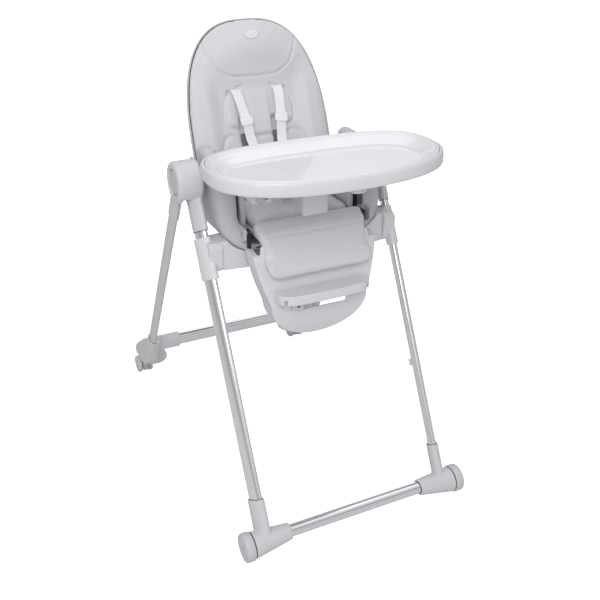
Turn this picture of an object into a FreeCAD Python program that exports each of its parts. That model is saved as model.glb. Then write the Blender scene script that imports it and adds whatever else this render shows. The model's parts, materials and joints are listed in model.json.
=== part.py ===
"""Folding baby high chair: sprung-button folding frame, height slide, reclining seat, tray and leg rest.

Millimetres, +Z up, +X to the child's left as seen from the front, the child faces -Y.
The layout is drawn with y = 0 at the front wheels' axle. export() then moves everything so that
the origin is on the floor in the middle of the chair's length.
"""
import FreeCAD, Part
import math
import os

V = FreeCAD.Vector
X_AXIS = V(1, 0, 0)

# ---- overall sizes -------------------------------------------------------------------------
HUB_HEIGHT = 745.0          # fold axis above the floor
FRONT_LEAN = 27.0           # front legs, degrees from vertical
REAR_LEAN = 32.0            # rear legs, degrees from vertical
FRONT_LEG_X = 229.0         # front leg centre line from the chair's middle plane
REAR_LEG_X = 254.0          # rear leg centre line from the middle plane
FOLD_RANGE = 46.0            # degrees the rear legs swing forward
RUN_CLEARANCE = 0.05        # radial, round pins that turn
SLIDE_CLEARANCE = 0.4       # flat or oval guides that slide
PART_GAP = 0.3              # between moving faces that are not a fit

# ---- tubes ---------------------------------------------------------------------------------
FRONT_TUBE_LONG = 38.0      # oval tube, long way
FRONT_TUBE_SHORT = 19.5
TUBE_WALL = 1.6
TUBE_TOE = 22.0             # long way of the front tube, turned outwards at the rear
REAR_TUBE_LONG = 34.0
REAR_TUBE_SHORT = 18.0
FRONT_BAR_RADIUS = 14.0
REAR_BAR_TALL = 38.0
REAR_BAR_THICK = 20.0

# ---- front feet and wheels -----------------------------------------------------------------
FRONT_WHEEL_RADIUS = 32.5
FRONT_WHEEL_WIDTH = 22.0
FRONT_WHEEL_OUTER_X = 280.0
FRONT_WHEEL_SEAM = 1.0
FRONT_AXLE_RADIUS = 5.0
FRONT_FOOT_RADIUS = 30.0
FRONT_FOOT_NECK_RADIUS = 19.0
FRONT_FOOT_INNER_X = 168.0
FRONT_BAR_Z = 38.5
BAR_DEPTH = 26.0            # how far a cross bar goes into its foot
FRONT_SOCKET_TOP = 96.0     # along the leg from the wheel axle
LEG_START = 38.0

# ---- hub -----------------------------------------------------------------------------------
HUB_RADIUS = 46.0
HUB_INNER_X = 212.0
HUB_SPLIT_X = 241.4         # between the hub body and the rear leg's knuckle
KNUCKLE_RADIUS = 38.0
COWL_GAP = 1.0              # between the knuckle and the hub's cowl around it
COWL_REAR = 66.0            # degrees from straight down where the cowl starts, behind and in front
COWL_FRONT = 48.0
COVER_SPLIT_X = 258.2       # between the knuckle and the outer cover
COVER_OUTER_X = 268.5
SLEEVE_LENGTH = 111.0       # hub centre to the lower end of the front sleeve
SLEEVE_WALL_LONG = 4.0
SLEEVE_WALL_SHORT = 2.0
LEG_IN_SLEEVE = 60.0
HUB_AXLE_RADIUS = 6.0
BUTTON_RADIUS = 27.0
BUTTON_RECESS_RADIUS = 28.5
BUTTON_THICK = 4.5
BUTTON_TRAVEL = 2.5
KNUCKLE_SOCKET_END = 112.0
KNUCKLE_SOCKET_WALL = 1.8
REAR_LEG_START = 62.0       # distance from the hub centre to the top end of the rear tube

# ---- rear feet and castors -----------------------------------------------------------------
REAR_LEG_LENGTH = 694.0     # hub centre to the lower end of the rear tube
REAR_SOCKET_TOP = 664.0
REAR_BAR_Y = 760.0
REAR_BAR_Z = 139.0
REAR_ARM_INNER_X = 166.0
REAR_ARM_WALL = 4.0
HOOD_HALF_WIDTH = 15.0
HOOD_REAR_Y = 888.0
HOOD_FLOOR_Z = 53.0
SKIRT_X = 227.0
SKIRT_Y = 838.0
SKIRT_HALF_X = 41.0
SKIRT_HALF_Y = 48.0
SKIRT_THICK = 13.0
CASTOR_X = 251.0
CASTOR_PIVOT_Y = 846.0
CASTOR_TRAIL = 15.0
CASTOR_WHEEL_RADIUS = 25.0
CASTOR_WHEEL_WIDTH = 12.0
CASTOR_WHEEL_SPACING = 31.0
CASTOR_STEM_RADIUS = 6.0
CASTOR_AXLE_RADIUS = 3.5
BRAKE_PIN_Y = 862.0
BRAKE_PIN_Z = 86.0
BRAKE_PIN_RADIUS = 2.5
BRAKE_WIDTH = 15.0
BRAKE_LENGTH = 24.0
BRAKE_REST = 22.0           # degrees below level
BRAKE_TRAVEL = 14.0

# ---- height slide --------------------------------------------------------------------------
SLIDER_BOTTOM = 582.0       # along the leg from the wheel axle
SLIDER_TOP = 674.0
SLIDER_WALL_LONG = 6.0
SLIDER_WALL_SHORT = 3.8
ARM_TO_SEAT = 2.0           # from the seat's side to the seam between slider and seat bracket
HEIGHT_TRAVEL = 250.0
STOP_ALONG = 296.0
PADDLE_LENGTH = 52.0
PADDLE_WIDTH = 12.0
PADDLE_THICK = 5.0
PADDLE_TRAVEL = 2.5

# ---- seat ----------------------------------------------------------------------------------
SEAT_HALF_WIDTH = 198.0
SEAT_FLOOR_Z = 600.0
SEAT_CORNER = 75.0
SEAT_WALL = 4.0
SEAT_SIDE_RIM = 44.0        # width of the turned-in front rim at the wings
SEAT_FLOOR_RIM = 13.0
SEAT_RIM_THICK = 5.0
SEAT_TOP_Z = 770.0
BEAM_BOTTOM_Z = 568.0
BEAM_Y = (272.0, 318.0)
PAN_TOP_Z = 640.0
PAN_THICK = 6.0
PAN_REAR_Y = 417.0
CHEEK_LAP = 3.5             # how far the pan's cheek stands inside the wing's edge
CHEEK_THICK = 5.5
PAD_TOP_Z = 668.0
SIDE_PAD_THICK = 20.0
PAD_GAP = 0.5               # between pads, and between a pad and the cheek
ARM_WIDTH = 35.8
ARM_GAP = 0.2               # between the armrest post and the seat's side wall
ARM_TOP_Z = 803.0
ARM_FRONT_Y = 372.0
ARM_REAR_Y = 432.0
RAIL_WIDTH = 24.0
RAIL_Z = (772.0, 792.0)
RAIL_FRONT_Y = 190.0

# ---- backrest ------------------------------------------------------------------------------
BACK_LEAN = 21.0            # degrees from vertical
BACK_Y = 434.0              # front face of the back pad at BACK_Z
BACK_Z = 650.0
BACK_HALF_WIDTH = 176.0     # at the shoulder
BACK_SIDE_GAP = 11.0        # between the back's lower edge and the seat's side wall
BACK_FLARE_POWER = 1.4
BACK_CORNER = 40.0          # rounding of the two lower corners
BACK_SHOULDER = 120.0       # up the back, where the rounded top starts
BACK_TOP = 418.0
BACK_POWER = 2.7            # fullness of the rounded top
BACK_DEPTH = 46.0
BACK_REAR_ROUND = 26.0      # rounding of the shell's rear edge
BACK_SHELL_FRONT = 12.0
BACK_SHELL_WALL = 4.0
RECLINE_UP = 52.0           # recline pin, up the back from its lower edge
RECLINE_DEEP = 27.0
RECLINE_PIN_RADIUS = 5.0
RECLINE_RANGE = 35.0
HANDLE_UP = 330.0
HANDLE_TRAVEL = 8.0
BADGE_UP = 378.0
STRAP_WIDTH = 24.0
STRAP_THICK = 2.0

# ---- leg rest and footrest -----------------------------------------------------------------
LEGREST_PIN_Y = 258.0
LEGREST_PIN_Z = 648.0
LEGREST_PIN_RADIUS = 4.0
LEGREST_RANGE = 50.0
ROLL_RADIUS = 20.0
EAR_WIDTH = 13.8
EAR_GAP = 0.7               # between the ear and the pan's cheek
PANEL_TOP_Z = 628.0
PANEL_TOP_GAP = 1.5         # between the panel's upper corner and the cheek
PANEL_HALF_WIDTH = 118.0
PANEL_WAIST = ((0.0, 602.0), (8.0, 562.0), (17.0, 530.0))   # how far inside the upper corner, and height
PANEL_ROUND_Z = 490.0
PANEL_BOTTOM_Z = 392.0
PANEL_WALL = 4.0
SLOT_HALF_LENGTH = 63.0
SLOT_Z = 482.0
SLOT_HEIGHT = 16.0
CALF_GAP = 6.0              # between the calf pad's end and the ear
FOOT_HALF_WIDTH = 111.0
FOOT_TOP_Z = 530.0
FOOT_LIP = 22.0
FOOT_THICK = 9.0
FOOT_FRONT_Y = 144.0
FOOT_BACK_Y = 187.0
FOOT_TRAVEL = 20.0
HOOK_X = 85.0
HOOK_Z = 515.0

# ---- tray ----------------------------------------------------------------------------------
TRAY_HALF_WIDTH = 257.0
TRAY_Y = 171.5
TRAY_FRONT = 153.0
TRAY_FRONT_POWER = 2.3
TRAY_BACK = 132.0
TRAY_BACK_POWER = 3.15
TRAY_TOP_Z = 826.0
TRAY_HEIGHT = 28.0
TRAY_BORDER = 9.0
TRAY_FLOOR = 4.0
LINER_THICK = 2.5
TRAY_TRAVEL = 60.0
LINER_TRAVEL = 50.0
DIVIDER_HALF_WIDTH = 31.0
DIVIDER_Y = (214.0, 246.0)
DIVIDER_BOTTOM_Z = 679.0
TRAY_HANDLE_TRAVEL = 6.0

# ---- worked out ----------------------------------------------------------------------------
SEAT_INNER_X = SEAT_HALF_WIDTH - SEAT_WALL
SLIDER_ARM_X = SEAT_HALF_WIDTH + ARM_TO_SEAT
BEAM_HALF_WIDTH = SEAT_HALF_WIDTH - SEAT_CORNER + 1.0
CHEEK_X = SEAT_HALF_WIDTH - SEAT_SIDE_RIM - CHEEK_LAP
SIDE_PAD_X = (CHEEK_X - PAD_GAP - SIDE_PAD_THICK, CHEEK_X - PAD_GAP)
PAN_HALF_WIDTH = SIDE_PAD_X[0] - 2.0
ARM_X = (SEAT_INNER_X - ARM_GAP - ARM_WIDTH, SEAT_INNER_X - ARM_GAP)
RAIL_X = (ARM_X[0], ARM_X[0] + RAIL_WIDTH)
BACK_FOOT_FLARE = SEAT_INNER_X - BACK_SIDE_GAP - BACK_HALF_WIDTH   # extra half width at the lower edge
EAR_X = (CHEEK_X - EAR_GAP - EAR_WIDTH, CHEEK_X - EAR_GAP)
CALF_HALF_WIDTH = EAR_X[0] - CALF_GAP
PANEL_HALF_TOP = CHEEK_X - PANEL_TOP_GAP
FOOT_Z = FRONT_WHEEL_RADIUS
HUB_ALONG = (HUB_HEIGHT - FOOT_Z) / math.cos(math.radians(FRONT_LEAN))
HUB_Y = HUB_ALONG * math.sin(math.radians(FRONT_LEAN))
Y_MID = (HOOD_REAR_Y - FRONT_WHEEL_RADIUS) / 2.0
FRONT_LONG = FRONT_TUBE_LONG / 2.0
FRONT_SHORT = FRONT_TUBE_SHORT / 2.0
REAR_LONG = REAR_TUBE_LONG / 2.0
REAR_SHORT = REAR_TUBE_SHORT / 2.0
WHEEL_INNER_X = FRONT_WHEEL_OUTER_X - FRONT_WHEEL_WIDTH
BIG = 2000.0

nodes = {}


# ---- helpers -------------------------------------------------------------------------------
def box(x0, x1, y0, y1, z0, z1):
    return Part.makeBox(x1 - x0, y1 - y0, z1 - z0, V(x0, y0, z0))


def rod_x(radius, x0, x1, y, z):
    return Part.makeCylinder(radius, x1 - x0, V(x0, y, z), X_AXIS)


def oval(long_half, short_half, s0, s1, turn=0.0):
    """Oval bar along local Z, its long way along Y turned by `turn` towards +X."""
    ellipse = Part.Ellipse(V(0, 0, 0), long_half, short_half)
    face = Part.Face(Part.Wire(ellipse.toShape()))
    face.rotate(V(0, 0, 0), V(0, 0, 1), 90.0 - turn)
    face.translate(V(0, 0, s0))
    return face.extrude(V(0, 0, s1 - s0))


def oval_x(tall_half, deep_half, x0, x1, y, z):
    """Oval bar along X."""
    ellipse = Part.Ellipse(V(0, 0, 0), tall_half, deep_half)
    face = Part.Face(Part.Wire(ellipse.toShape()))
    face.rotate(V(0, 0, 0), V(0, 1, 0), -90.0)
    face.translate(V(x0, y, z))
    return face.extrude(V(x1 - x0, 0, 0))


def side_plate(points, x0, x1):
    """Plate with the outline `points` (y, z), from x0 to x1."""
    corners = [V(x0, y, z) for y, z in points]
    return Part.Face(Part.makePolygon(corners + corners[:1])).extrude(V(x1 - x0, 0, 0))


def front_plate(points, y0, y1):
    """Plate with the outline `points` (x, z), from y0 to y1."""
    corners = [V(x, y0, z) for x, z in points]
    return Part.Face(Part.makePolygon(corners + corners[:1])).extrude(V(0, y1 - y0, 0))


def smooth_side(front, rear, x0, x1):
    """Solid between two smooth side curves, each a list of (y, z) from top to bottom."""
    front_curve = Part.BSplineCurve()
    front_curve.interpolate([V(x0, y, z) for y, z in front])
    rear_curve = Part.BSplineCurve()
    rear_curve.interpolate([V(x0, y, z) for y, z in rear])
    ends = [Part.makeLine(V(x0, *front[-1]), V(x0, *rear[-1])), Part.makeLine(V(x0, *rear[0]), V(x0, *front[0]))]
    wire = Part.Wire([front_curve.toShape(), ends[0], rear_curve.toShape(), ends[1]])
    return Part.Face(wire).extrude(V(x1 - x0, 0, 0))


def rounded(shape, radius, axis=None):
    """Fillet every edge, or only the straight edges that run along `axis`."""
    edges = []
    for edge in shape.Edges:
        if axis is None:
            edges.append(edge)
            continue
        if edge.Curve.TypeId == "Part::GeomLine":
            way = edge.Vertexes[1].Point.sub(edge.Vertexes[0].Point)
            if abs(way.dot(axis)) > 0.999 * way.Length:
                edges.append(edge)
    return shape.makeFillet(radius, edges)


def both(name, shape):
    """Store the right-hand shape (+X) and its mirror image."""
    nodes[name + "_right"] = shape
    nodes[name + "_left"] = shape.mirror(V(0, 0, 0), X_AXIS)


def pair(shape):
    return Part.makeCompound([shape, shape.mirror(V(0, 0, 0), X_AXIS)])


def tilted(origin, lean):
    """Frame at `origin` whose Z leans backwards by `lean` degrees."""
    return FreeCAD.Placement(origin, FreeCAD.Rotation(X_AXIS, -lean))


def into(frame, shape):
    placed = shape.copy()
    placed.Placement = frame.multiply(shape.Placement)
    return placed


def on_front_leg(shape):
    """From the front leg's own frame (Z up the leg from the wheel axle) to the chair."""
    return into(tilted(V(FRONT_LEG_X, 0, FOOT_Z), FRONT_LEAN), shape)


def on_rear_leg(shape):
    """From the rear leg's own frame (Z up the leg, zero at the hub centre) to the chair."""
    return into(tilted(V(REAR_LEG_X, HUB_Y, HUB_HEIGHT), -REAR_LEAN), shape)


def on_back(shape):
    """From the backrest's own frame (Z up the back, Y into it) to the chair."""
    return into(tilted(V(0, BACK_Y, BACK_Z), BACK_LEAN), shape)


def back_point(x, deep, up):
    return tilted(V(0, BACK_Y, BACK_Z), BACK_LEAN).multVec(V(x, deep, up))


def band(points, width, thick):
    """Flat strap through `points`, its width along X, as one solid."""
    pieces = []
    for a, b in zip(points[:-1], points[1:]):
        way = b.sub(a)
        normal = way.cross(X_AXIS)
        normal.normalize()
        across = V(width / 2.0, 0, 0)
        corner = a.sub(across).sub(normal * (thick / 2.0))
        face = Part.Face(Part.makePolygon([corner, corner.add(across * 2), corner.add(across * 2).add(normal * thick),
                                           corner.add(normal * thick), corner]))
        pieces.append(face.extrude(way))
    for p in points[1:-1]:
        pieces.append(rod_x(thick / 2.0, p.x - width / 2.0, p.x + width / 2.0, p.y, p.z))
    return pieces[0].fuse(pieces[1:]).removeSplitter()


# ---- front frame ---------------------------------------------------------------------------
def make_front_frame():
    leg_outer = oval(FRONT_LONG, FRONT_SHORT, LEG_START, HUB_ALONG - LEG_IN_SLEEVE, TUBE_TOE)
    leg_inner = oval(FRONT_LONG - TUBE_WALL, FRONT_SHORT - TUBE_WALL, 0, HUB_ALONG, TUBE_TOE)
    both("front_leg", on_front_leg(leg_outer.cut(leg_inner)))

    bar_end = FRONT_FOOT_INNER_X + BAR_DEPTH
    bar = rod_x(FRONT_BAR_RADIUS, -bar_end, bar_end, 0, FRONT_BAR_Z)
    nodes["front_crossbar"] = bar.cut(rod_x(FRONT_BAR_RADIUS - TUBE_WALL, -bar_end, bar_end, 0, FRONT_BAR_Z))

    big_end = Part.makeCircle(FRONT_FOOT_RADIUS, V(WHEEL_INNER_X - FRONT_WHEEL_SEAM, 0, FOOT_Z), X_AXIS)
    small_end = Part.makeCircle(FRONT_FOOT_NECK_RADIUS, V(FRONT_FOOT_INNER_X, 0, FRONT_BAR_Z), X_AXIS)
    cone = Part.makeLoft([Part.Wire(big_end), Part.Wire(small_end)], True)
    socket = on_front_leg(oval(FRONT_LONG + 4.5, FRONT_SHORT + 4.0, 0, FRONT_SOCKET_TOP, TUBE_TOE))
    foot = cone.fuse(socket)
    foot = foot.cut(on_front_leg(oval(FRONT_LONG, FRONT_SHORT, LEG_START, HUB_ALONG, TUBE_TOE)))
    foot = foot.cut(rod_x(FRONT_BAR_RADIUS, 0, bar_end, 0, FRONT_BAR_Z))
    axle_inner_x = WHEEL_INNER_X - 24.0
    foot = foot.cut(rod_x(FRONT_AXLE_RADIUS, axle_inner_x, FRONT_WHEEL_OUTER_X, 0, FOOT_Z))
    foot = foot.cut(box(0, BIG, -BIG, BIG, -BIG, 2.0))
    both("front_foot", foot.removeSplitter())

    axle_end = FRONT_WHEEL_OUTER_X - 5.0
    nodes["front_wheel_axles"] = pair(rod_x(FRONT_AXLE_RADIUS, axle_inner_x, axle_end, 0, FOOT_Z))
    wheel = rounded(rod_x(FRONT_WHEEL_RADIUS, WHEEL_INNER_X, FRONT_WHEEL_OUTER_X, 0, FOOT_Z), 3.0)
    bore = rod_x(FRONT_AXLE_RADIUS + RUN_CLEARANCE, WHEEL_INNER_X - 1, axle_end + 0.5, 0, FOOT_Z)
    both("front_wheel", wheel.cut(bore))

    tab = Part.makeBox(9, 9, 16, V(-FRONT_SHORT - 5, 5, STOP_ALONG - 8))
    tab.rotate(V(0, 0, 0), V(0, 0, 1), -TUBE_TOE)
    tab = tab.cut(oval(FRONT_LONG, FRONT_SHORT, 0, HUB_ALONG, TUBE_TOE))
    nodes["leg_stops"] = pair(on_front_leg(tab))


def make_hub():
    body = rod_x(HUB_RADIUS, HUB_INNER_X, HUB_SPLIT_X, HUB_Y, HUB_HEIGHT)
    body = body.makeFillet(9.0, [e for e in body.Edges if e.CenterOfMass.x < HUB_INNER_X + 0.1])
    sleeve_end = HUB_ALONG - SLEEVE_LENGTH
    sleeve = on_front_leg(oval(FRONT_LONG + SLEEVE_WALL_LONG, FRONT_SHORT + SLEEVE_WALL_SHORT,
                               sleeve_end, HUB_ALONG, TUBE_TOE))
    sleeve = sleeve.cut(box(HUB_SPLIT_X, BIG, -BIG, BIG, -BIG, BIG))
    leg_room = on_front_leg(oval(FRONT_LONG, FRONT_SHORT, 0, HUB_ALONG - LEG_IN_SLEEVE, TUBE_TOE))
    axle_start = HUB_INNER_X - 5.0
    axle_end = COVER_SPLIT_X + PART_GAP + 1.8
    cowl = rod_x(HUB_RADIUS, HUB_SPLIT_X, COVER_SPLIT_X, HUB_Y, HUB_HEIGHT)
    cowl = cowl.cut(rod_x(KNUCKLE_RADIUS + COWL_GAP, 0, BIG, HUB_Y, HUB_HEIGHT)).cut(leg_sweep())
    hub = body.fuse([sleeve, cowl]).cut(leg_room)
    hub = hub.cut(rod_x(HUB_AXLE_RADIUS, 0, HUB_SPLIT_X + 5, HUB_Y, HUB_HEIGHT))
    both("hub", hub.removeSplitter())

    axle = rod_x(HUB_AXLE_RADIUS, axle_start, axle_end, HUB_Y, HUB_HEIGHT)
    head = rod_x(HUB_AXLE_RADIUS + 4, axle_start - 4, HUB_INNER_X, HUB_Y, HUB_HEIGHT)
    nodes["hub_axles"] = pair(axle.fuse(head).removeSplitter())

    cover_inner = COVER_SPLIT_X + PART_GAP
    cover = rod_x(HUB_RADIUS, cover_inner, COVER_OUTER_X, HUB_Y, HUB_HEIGHT)
    cover = cover.makeFillet(7.0, [e for e in cover.Edges if e.CenterOfMass.x > COVER_OUTER_X - 0.1])
    recess_floor = cover_inner + 2.0
    cover = cover.cut(rod_x(BUTTON_RECESS_RADIUS, recess_floor, BIG, HUB_Y, HUB_HEIGHT))
    cover = cover.cut(rod_x(HUB_AXLE_RADIUS, 0, BIG, HUB_Y, HUB_HEIGHT))
    nodes["hub_covers"] = pair(cover)

    button_face = COVER_OUTER_X - 0.6
    button = rod_x(BUTTON_RADIUS, button_face - BUTTON_THICK, button_face, HUB_Y, HUB_HEIGHT)
    button = button.makeFillet(1.5, [e for e in button.Edges if e.CenterOfMass.x > button_face - 0.1])
    lifted = rod_x(BUTTON_RADIUS + 4, button_face - 9, button_face + 1, HUB_Y - 3, HUB_HEIGHT + 9)
    both("fold_button", button.common(lifted))


def leg_sweep():
    """Wedge below the hub that the rear leg swings through."""
    reach = HUB_RADIUS * 2.5
    points = [(HUB_Y, HUB_HEIGHT)]
    for degrees in (COWL_REAR, (COWL_REAR - COWL_FRONT) / 2, -COWL_FRONT):
        angle = math.radians(degrees)
        points.append((HUB_Y + reach * math.sin(angle), HUB_HEIGHT - reach * math.cos(angle)))
    return side_plate(points, HUB_SPLIT_X, COVER_SPLIT_X)


# ---- rear frame ----------------------------------------------------------------------------
def make_rear_frame():
    leg = oval(REAR_LONG, REAR_SHORT, -REAR_LEG_LENGTH, -REAR_LEG_START)
    leg = leg.cut(oval(REAR_LONG - TUBE_WALL, REAR_SHORT - TUBE_WALL, -BIG, 0))
    both("rear_leg", on_rear_leg(leg))

    disc = rod_x(KNUCKLE_RADIUS, HUB_SPLIT_X + PART_GAP, COVER_SPLIT_X, HUB_Y, HUB_HEIGHT)
    socket = on_rear_leg(oval(REAR_LONG + 3.5, REAR_SHORT + KNUCKLE_SOCKET_WALL, -KNUCKLE_SOCKET_END, -20))
    keep_out = rod_x(HUB_RADIUS + 1.5, COVER_SPLIT_X, BIG, HUB_Y, HUB_HEIGHT)
    knuckle = disc.fuse(socket.cut(keep_out).cut(box(0, HUB_SPLIT_X + 1.0, -BIG, BIG, -BIG, BIG)))
    knuckle = knuckle.cut(on_rear_leg(oval(REAR_LONG, REAR_SHORT, -BIG, -REAR_LEG_START)))
    knuckle = knuckle.cut(rod_x(HUB_AXLE_RADIUS + RUN_CLEARANCE, 0, BIG, HUB_Y, HUB_HEIGHT))
    both("rear_knuckle", knuckle.removeSplitter())

    bar_end = REAR_ARM_INNER_X + BAR_DEPTH
    bar = oval_x(REAR_BAR_TALL / 2, REAR_BAR_THICK / 2, -bar_end, bar_end, REAR_BAR_Y, REAR_BAR_Z)
    nodes["rear_crossbar"] = bar.cut(oval_x(REAR_BAR_TALL / 2 - TUBE_WALL, REAR_BAR_THICK / 2 - TUBE_WALL,
                                            -bar_end, bar_end, REAR_BAR_Y, REAR_BAR_Z))

    x0 = CASTOR_X - HOOD_HALF_WIDTH
    x1 = CASTOR_X + HOOD_HALF_WIDTH
    hood_points = [(700, 176), (722, 184), (792, 146), (850, 106), (880, 84), (HOOD_REAR_Y, 68),
                   (HOOD_REAR_Y, HOOD_FLOOR_Z), (800, HOOD_FLOOR_Z), (752, 86)]
    hood = rounded(side_plate(hood_points, x0, x1), 5.0)
    arm = oval_x(REAR_BAR_TALL / 2 + REAR_ARM_WALL, REAR_BAR_THICK / 2 + REAR_ARM_WALL + 2,
                 REAR_ARM_INNER_X, CASTOR_X, REAR_BAR_Y, REAR_BAR_Z)
    socket = on_rear_leg(oval(REAR_LONG + 4, REAR_SHORT + 4, -REAR_LEG_LENGTH - 8, -REAR_SOCKET_TOP))
    skirt = oval(SKIRT_HALF_Y, SKIRT_HALF_X, 0, SKIRT_THICK)
    skirt.translate(V(SKIRT_X, SKIRT_Y, HOOD_FLOOR_Z))
    top_edge = [e for e in skirt.Edges if e.CenterOfMass.z > HOOD_FLOOR_Z + SKIRT_THICK - 0.1]
    skirt = skirt.makeFillet(8.0, top_edge)
    web = side_plate([(752, 125), (800, 125), (838, HOOD_FLOOR_Z + 4), (790, HOOD_FLOOR_Z + 4)], 214, CASTOR_X)
    foot = hood.fuse([arm, socket, skirt, web])
    foot = foot.cut(on_rear_leg(oval(REAR_LONG, REAR_SHORT, -REAR_LEG_LENGTH, 0)))
    foot = foot.cut(oval_x(REAR_BAR_TALL / 2, REAR_BAR_THICK / 2, 0, bar_end, REAR_BAR_Y, REAR_BAR_Z))
    half = BRAKE_WIDTH / 2 + SLIDE_CLEARANCE
    notch = box(CASTOR_X - half, CASTOR_X + half, BRAKE_PIN_Y - 9, BIG, HOOD_FLOOR_Z + 9, 140)
    foot = foot.cut(notch)
    pin_half = HOOD_HALF_WIDTH - 2
    pin = rod_x(BRAKE_PIN_RADIUS, CASTOR_X - pin_half, CASTOR_X + pin_half, BRAKE_PIN_Y, BRAKE_PIN_Z)
    foot = foot.cut(pin)
    stem_top = HOOD_FLOOR_Z + 24
    stem_room = Part.makeCylinder(CASTOR_STEM_RADIUS + RUN_CLEARANCE, stem_top + 1, V(CASTOR_X, CASTOR_PIVOT_Y, 0))
    foot = foot.cut(stem_room)
    both("rear_foot", foot.removeSplitter())
    nodes["brake_pins"] = pair(pin)

    pedal = rod_x(7.5, CASTOR_X - BRAKE_WIDTH / 2, CASTOR_X + BRAKE_WIDTH / 2, BRAKE_PIN_Y, BRAKE_PIN_Z)
    blade = box(CASTOR_X - BRAKE_WIDTH / 2, CASTOR_X + BRAKE_WIDTH / 2, BRAKE_PIN_Y, BRAKE_PIN_Y + BRAKE_LENGTH,
                BRAKE_PIN_Z + 0.5, BRAKE_PIN_Z + 7.5)
    blade.rotate(V(0, BRAKE_PIN_Y, BRAKE_PIN_Z), X_AXIS, -BRAKE_REST)
    pedal = pedal.fuse(blade).removeSplitter()
    pedal = pedal.cut(rod_x(BRAKE_PIN_RADIUS + RUN_CLEARANCE, 0, BIG, BRAKE_PIN_Y, BRAKE_PIN_Z))
    both("brake_pedal", pedal)


def make_castors():
    axle_y = CASTOR_PIVOT_Y + CASTOR_TRAIL
    inner = CASTOR_WHEEL_SPACING / 2 - CASTOR_WHEEL_WIDTH / 2
    half = inner - 1.5
    body = box(CASTOR_X - half, CASTOR_X + half, CASTOR_PIVOT_Y - 12, axle_y + 13, 12, HOOD_FLOOR_Z - 1.2)
    body = rounded(body, 6.0, X_AXIS)
    stem = Part.makeCylinder(CASTOR_STEM_RADIUS, 36, V(CASTOR_X, CASTOR_PIVOT_Y, HOOD_FLOOR_Z - 12))
    fork = body.fuse(stem)
    fork = fork.cut(rod_x(CASTOR_AXLE_RADIUS + RUN_CLEARANCE, 0, BIG, axle_y, CASTOR_WHEEL_RADIUS))
    both("castor_fork", fork.removeSplitter())

    wheels = []
    for side in (-1, 1):
        middle = CASTOR_X + side * CASTOR_WHEEL_SPACING / 2
        wheel = rod_x(CASTOR_WHEEL_RADIUS, middle - CASTOR_WHEEL_WIDTH / 2, middle + CASTOR_WHEEL_WIDTH / 2,
                      axle_y, CASTOR_WHEEL_RADIUS)
        wheels.append(rounded(wheel, 2.5))
    reach = CASTOR_WHEEL_SPACING / 2 + 2
    axle = rod_x(CASTOR_AXLE_RADIUS, CASTOR_X - reach, CASTOR_X + reach, axle_y, CASTOR_WHEEL_RADIUS)
    both("castor_wheels", axle.fuse(wheels).removeSplitter())


# ---- height slide --------------------------------------------------------------------------
def make_sliders():
    housing = oval(FRONT_LONG + SLIDER_WALL_LONG, FRONT_SHORT + SLIDER_WALL_SHORT, SLIDER_BOTTOM, SLIDER_TOP, TUBE_TOE)
    housing = on_front_leg(housing).cut(box(REAR_LEG_X - REAR_SHORT - 0.6, BIG, -BIG, BIG, -BIG, BIG))
    stub_points = [(258, 622), (262, 575), (268, 566), (322, 566), (330, 575), (330, 622), (320, 632), (268, 632)]
    stub = side_plate(stub_points, SLIDER_ARM_X, FRONT_LEG_X)
    slider = housing.fuse(stub)
    room = oval(FRONT_LONG + SLIDE_CLEARANCE, FRONT_SHORT + SLIDE_CLEARANCE, 0, HUB_ALONG, TUBE_TOE)
    slider = slider.cut(on_front_leg(room))

    middle = (SLIDER_BOTTOM + SLIDER_TOP) / 2 + 4
    deep = FRONT_LONG + SLIDER_WALL_LONG
    paddle = box(-PADDLE_WIDTH / 2, PADDLE_WIDTH / 2, deep - 1.0, deep - 1.0 + PADDLE_THICK,
                 middle - PADDLE_LENGTH / 2, middle + PADDLE_LENGTH / 2)
    paddle = rounded(paddle, 2.0)
    slot = box(-PADDLE_WIDTH / 2 - SLIDE_CLEARANCE, PADDLE_WIDTH / 2 + SLIDE_CLEARANCE, deep - 1.0 - PADDLE_TRAVEL - 0.5,
               deep + 9, middle - PADDLE_LENGTH / 2 - SLIDE_CLEARANCE, middle + PADDLE_LENGTH / 2 + SLIDE_CLEARANCE)
    shift = V(4.0, 0, 0)
    for piece in (paddle, slot):
        piece.translate(shift)
    slider = slider.cut(on_front_leg(slot))
    both("slider", slider.removeSplitter())
    both("height_button", on_front_leg(paddle))


# ---- seat ----------------------------------------------------------------------------------
SEAT_FRONT_EDGE = [(262, 600), (264, 608), (268, 622), (274, 645), (281, 680), (285, 720), (288, SEAT_TOP_Z)]
SEAT_REAR_EDGE = [(505, SEAT_TOP_Z), (520, 700), (515, 640), (490, 600)]


def u_section(half, floor_z, corner, y0, y1):
    """Upright U-shaped section, closed at the top far above the seat, from y0 to y1."""
    top = SEAT_TOP_Z + 60
    s = corner * (1 - math.sqrt(0.5))
    left = Part.Arc(V(-half, y0, floor_z + corner), V(-half + s, y0, floor_z + s), V(-half + corner, y0, floor_z))
    right = Part.Arc(V(half - corner, y0, floor_z), V(half - s, y0, floor_z + s), V(half, y0, floor_z + corner))
    edges = [Part.makeLine(V(-half, y0, top), V(-half, y0, floor_z + corner)), left.toShape(),
             Part.makeLine(V(-half + corner, y0, floor_z), V(half - corner, y0, floor_z)), right.toShape(),
             Part.makeLine(V(half, y0, floor_z + corner), V(half, y0, top)),
             Part.makeLine(V(half, y0, top), V(-half, y0, top))]
    return Part.Face(Part.Wire(edges)).extrude(V(0, y1 - y0, 0))


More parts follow.
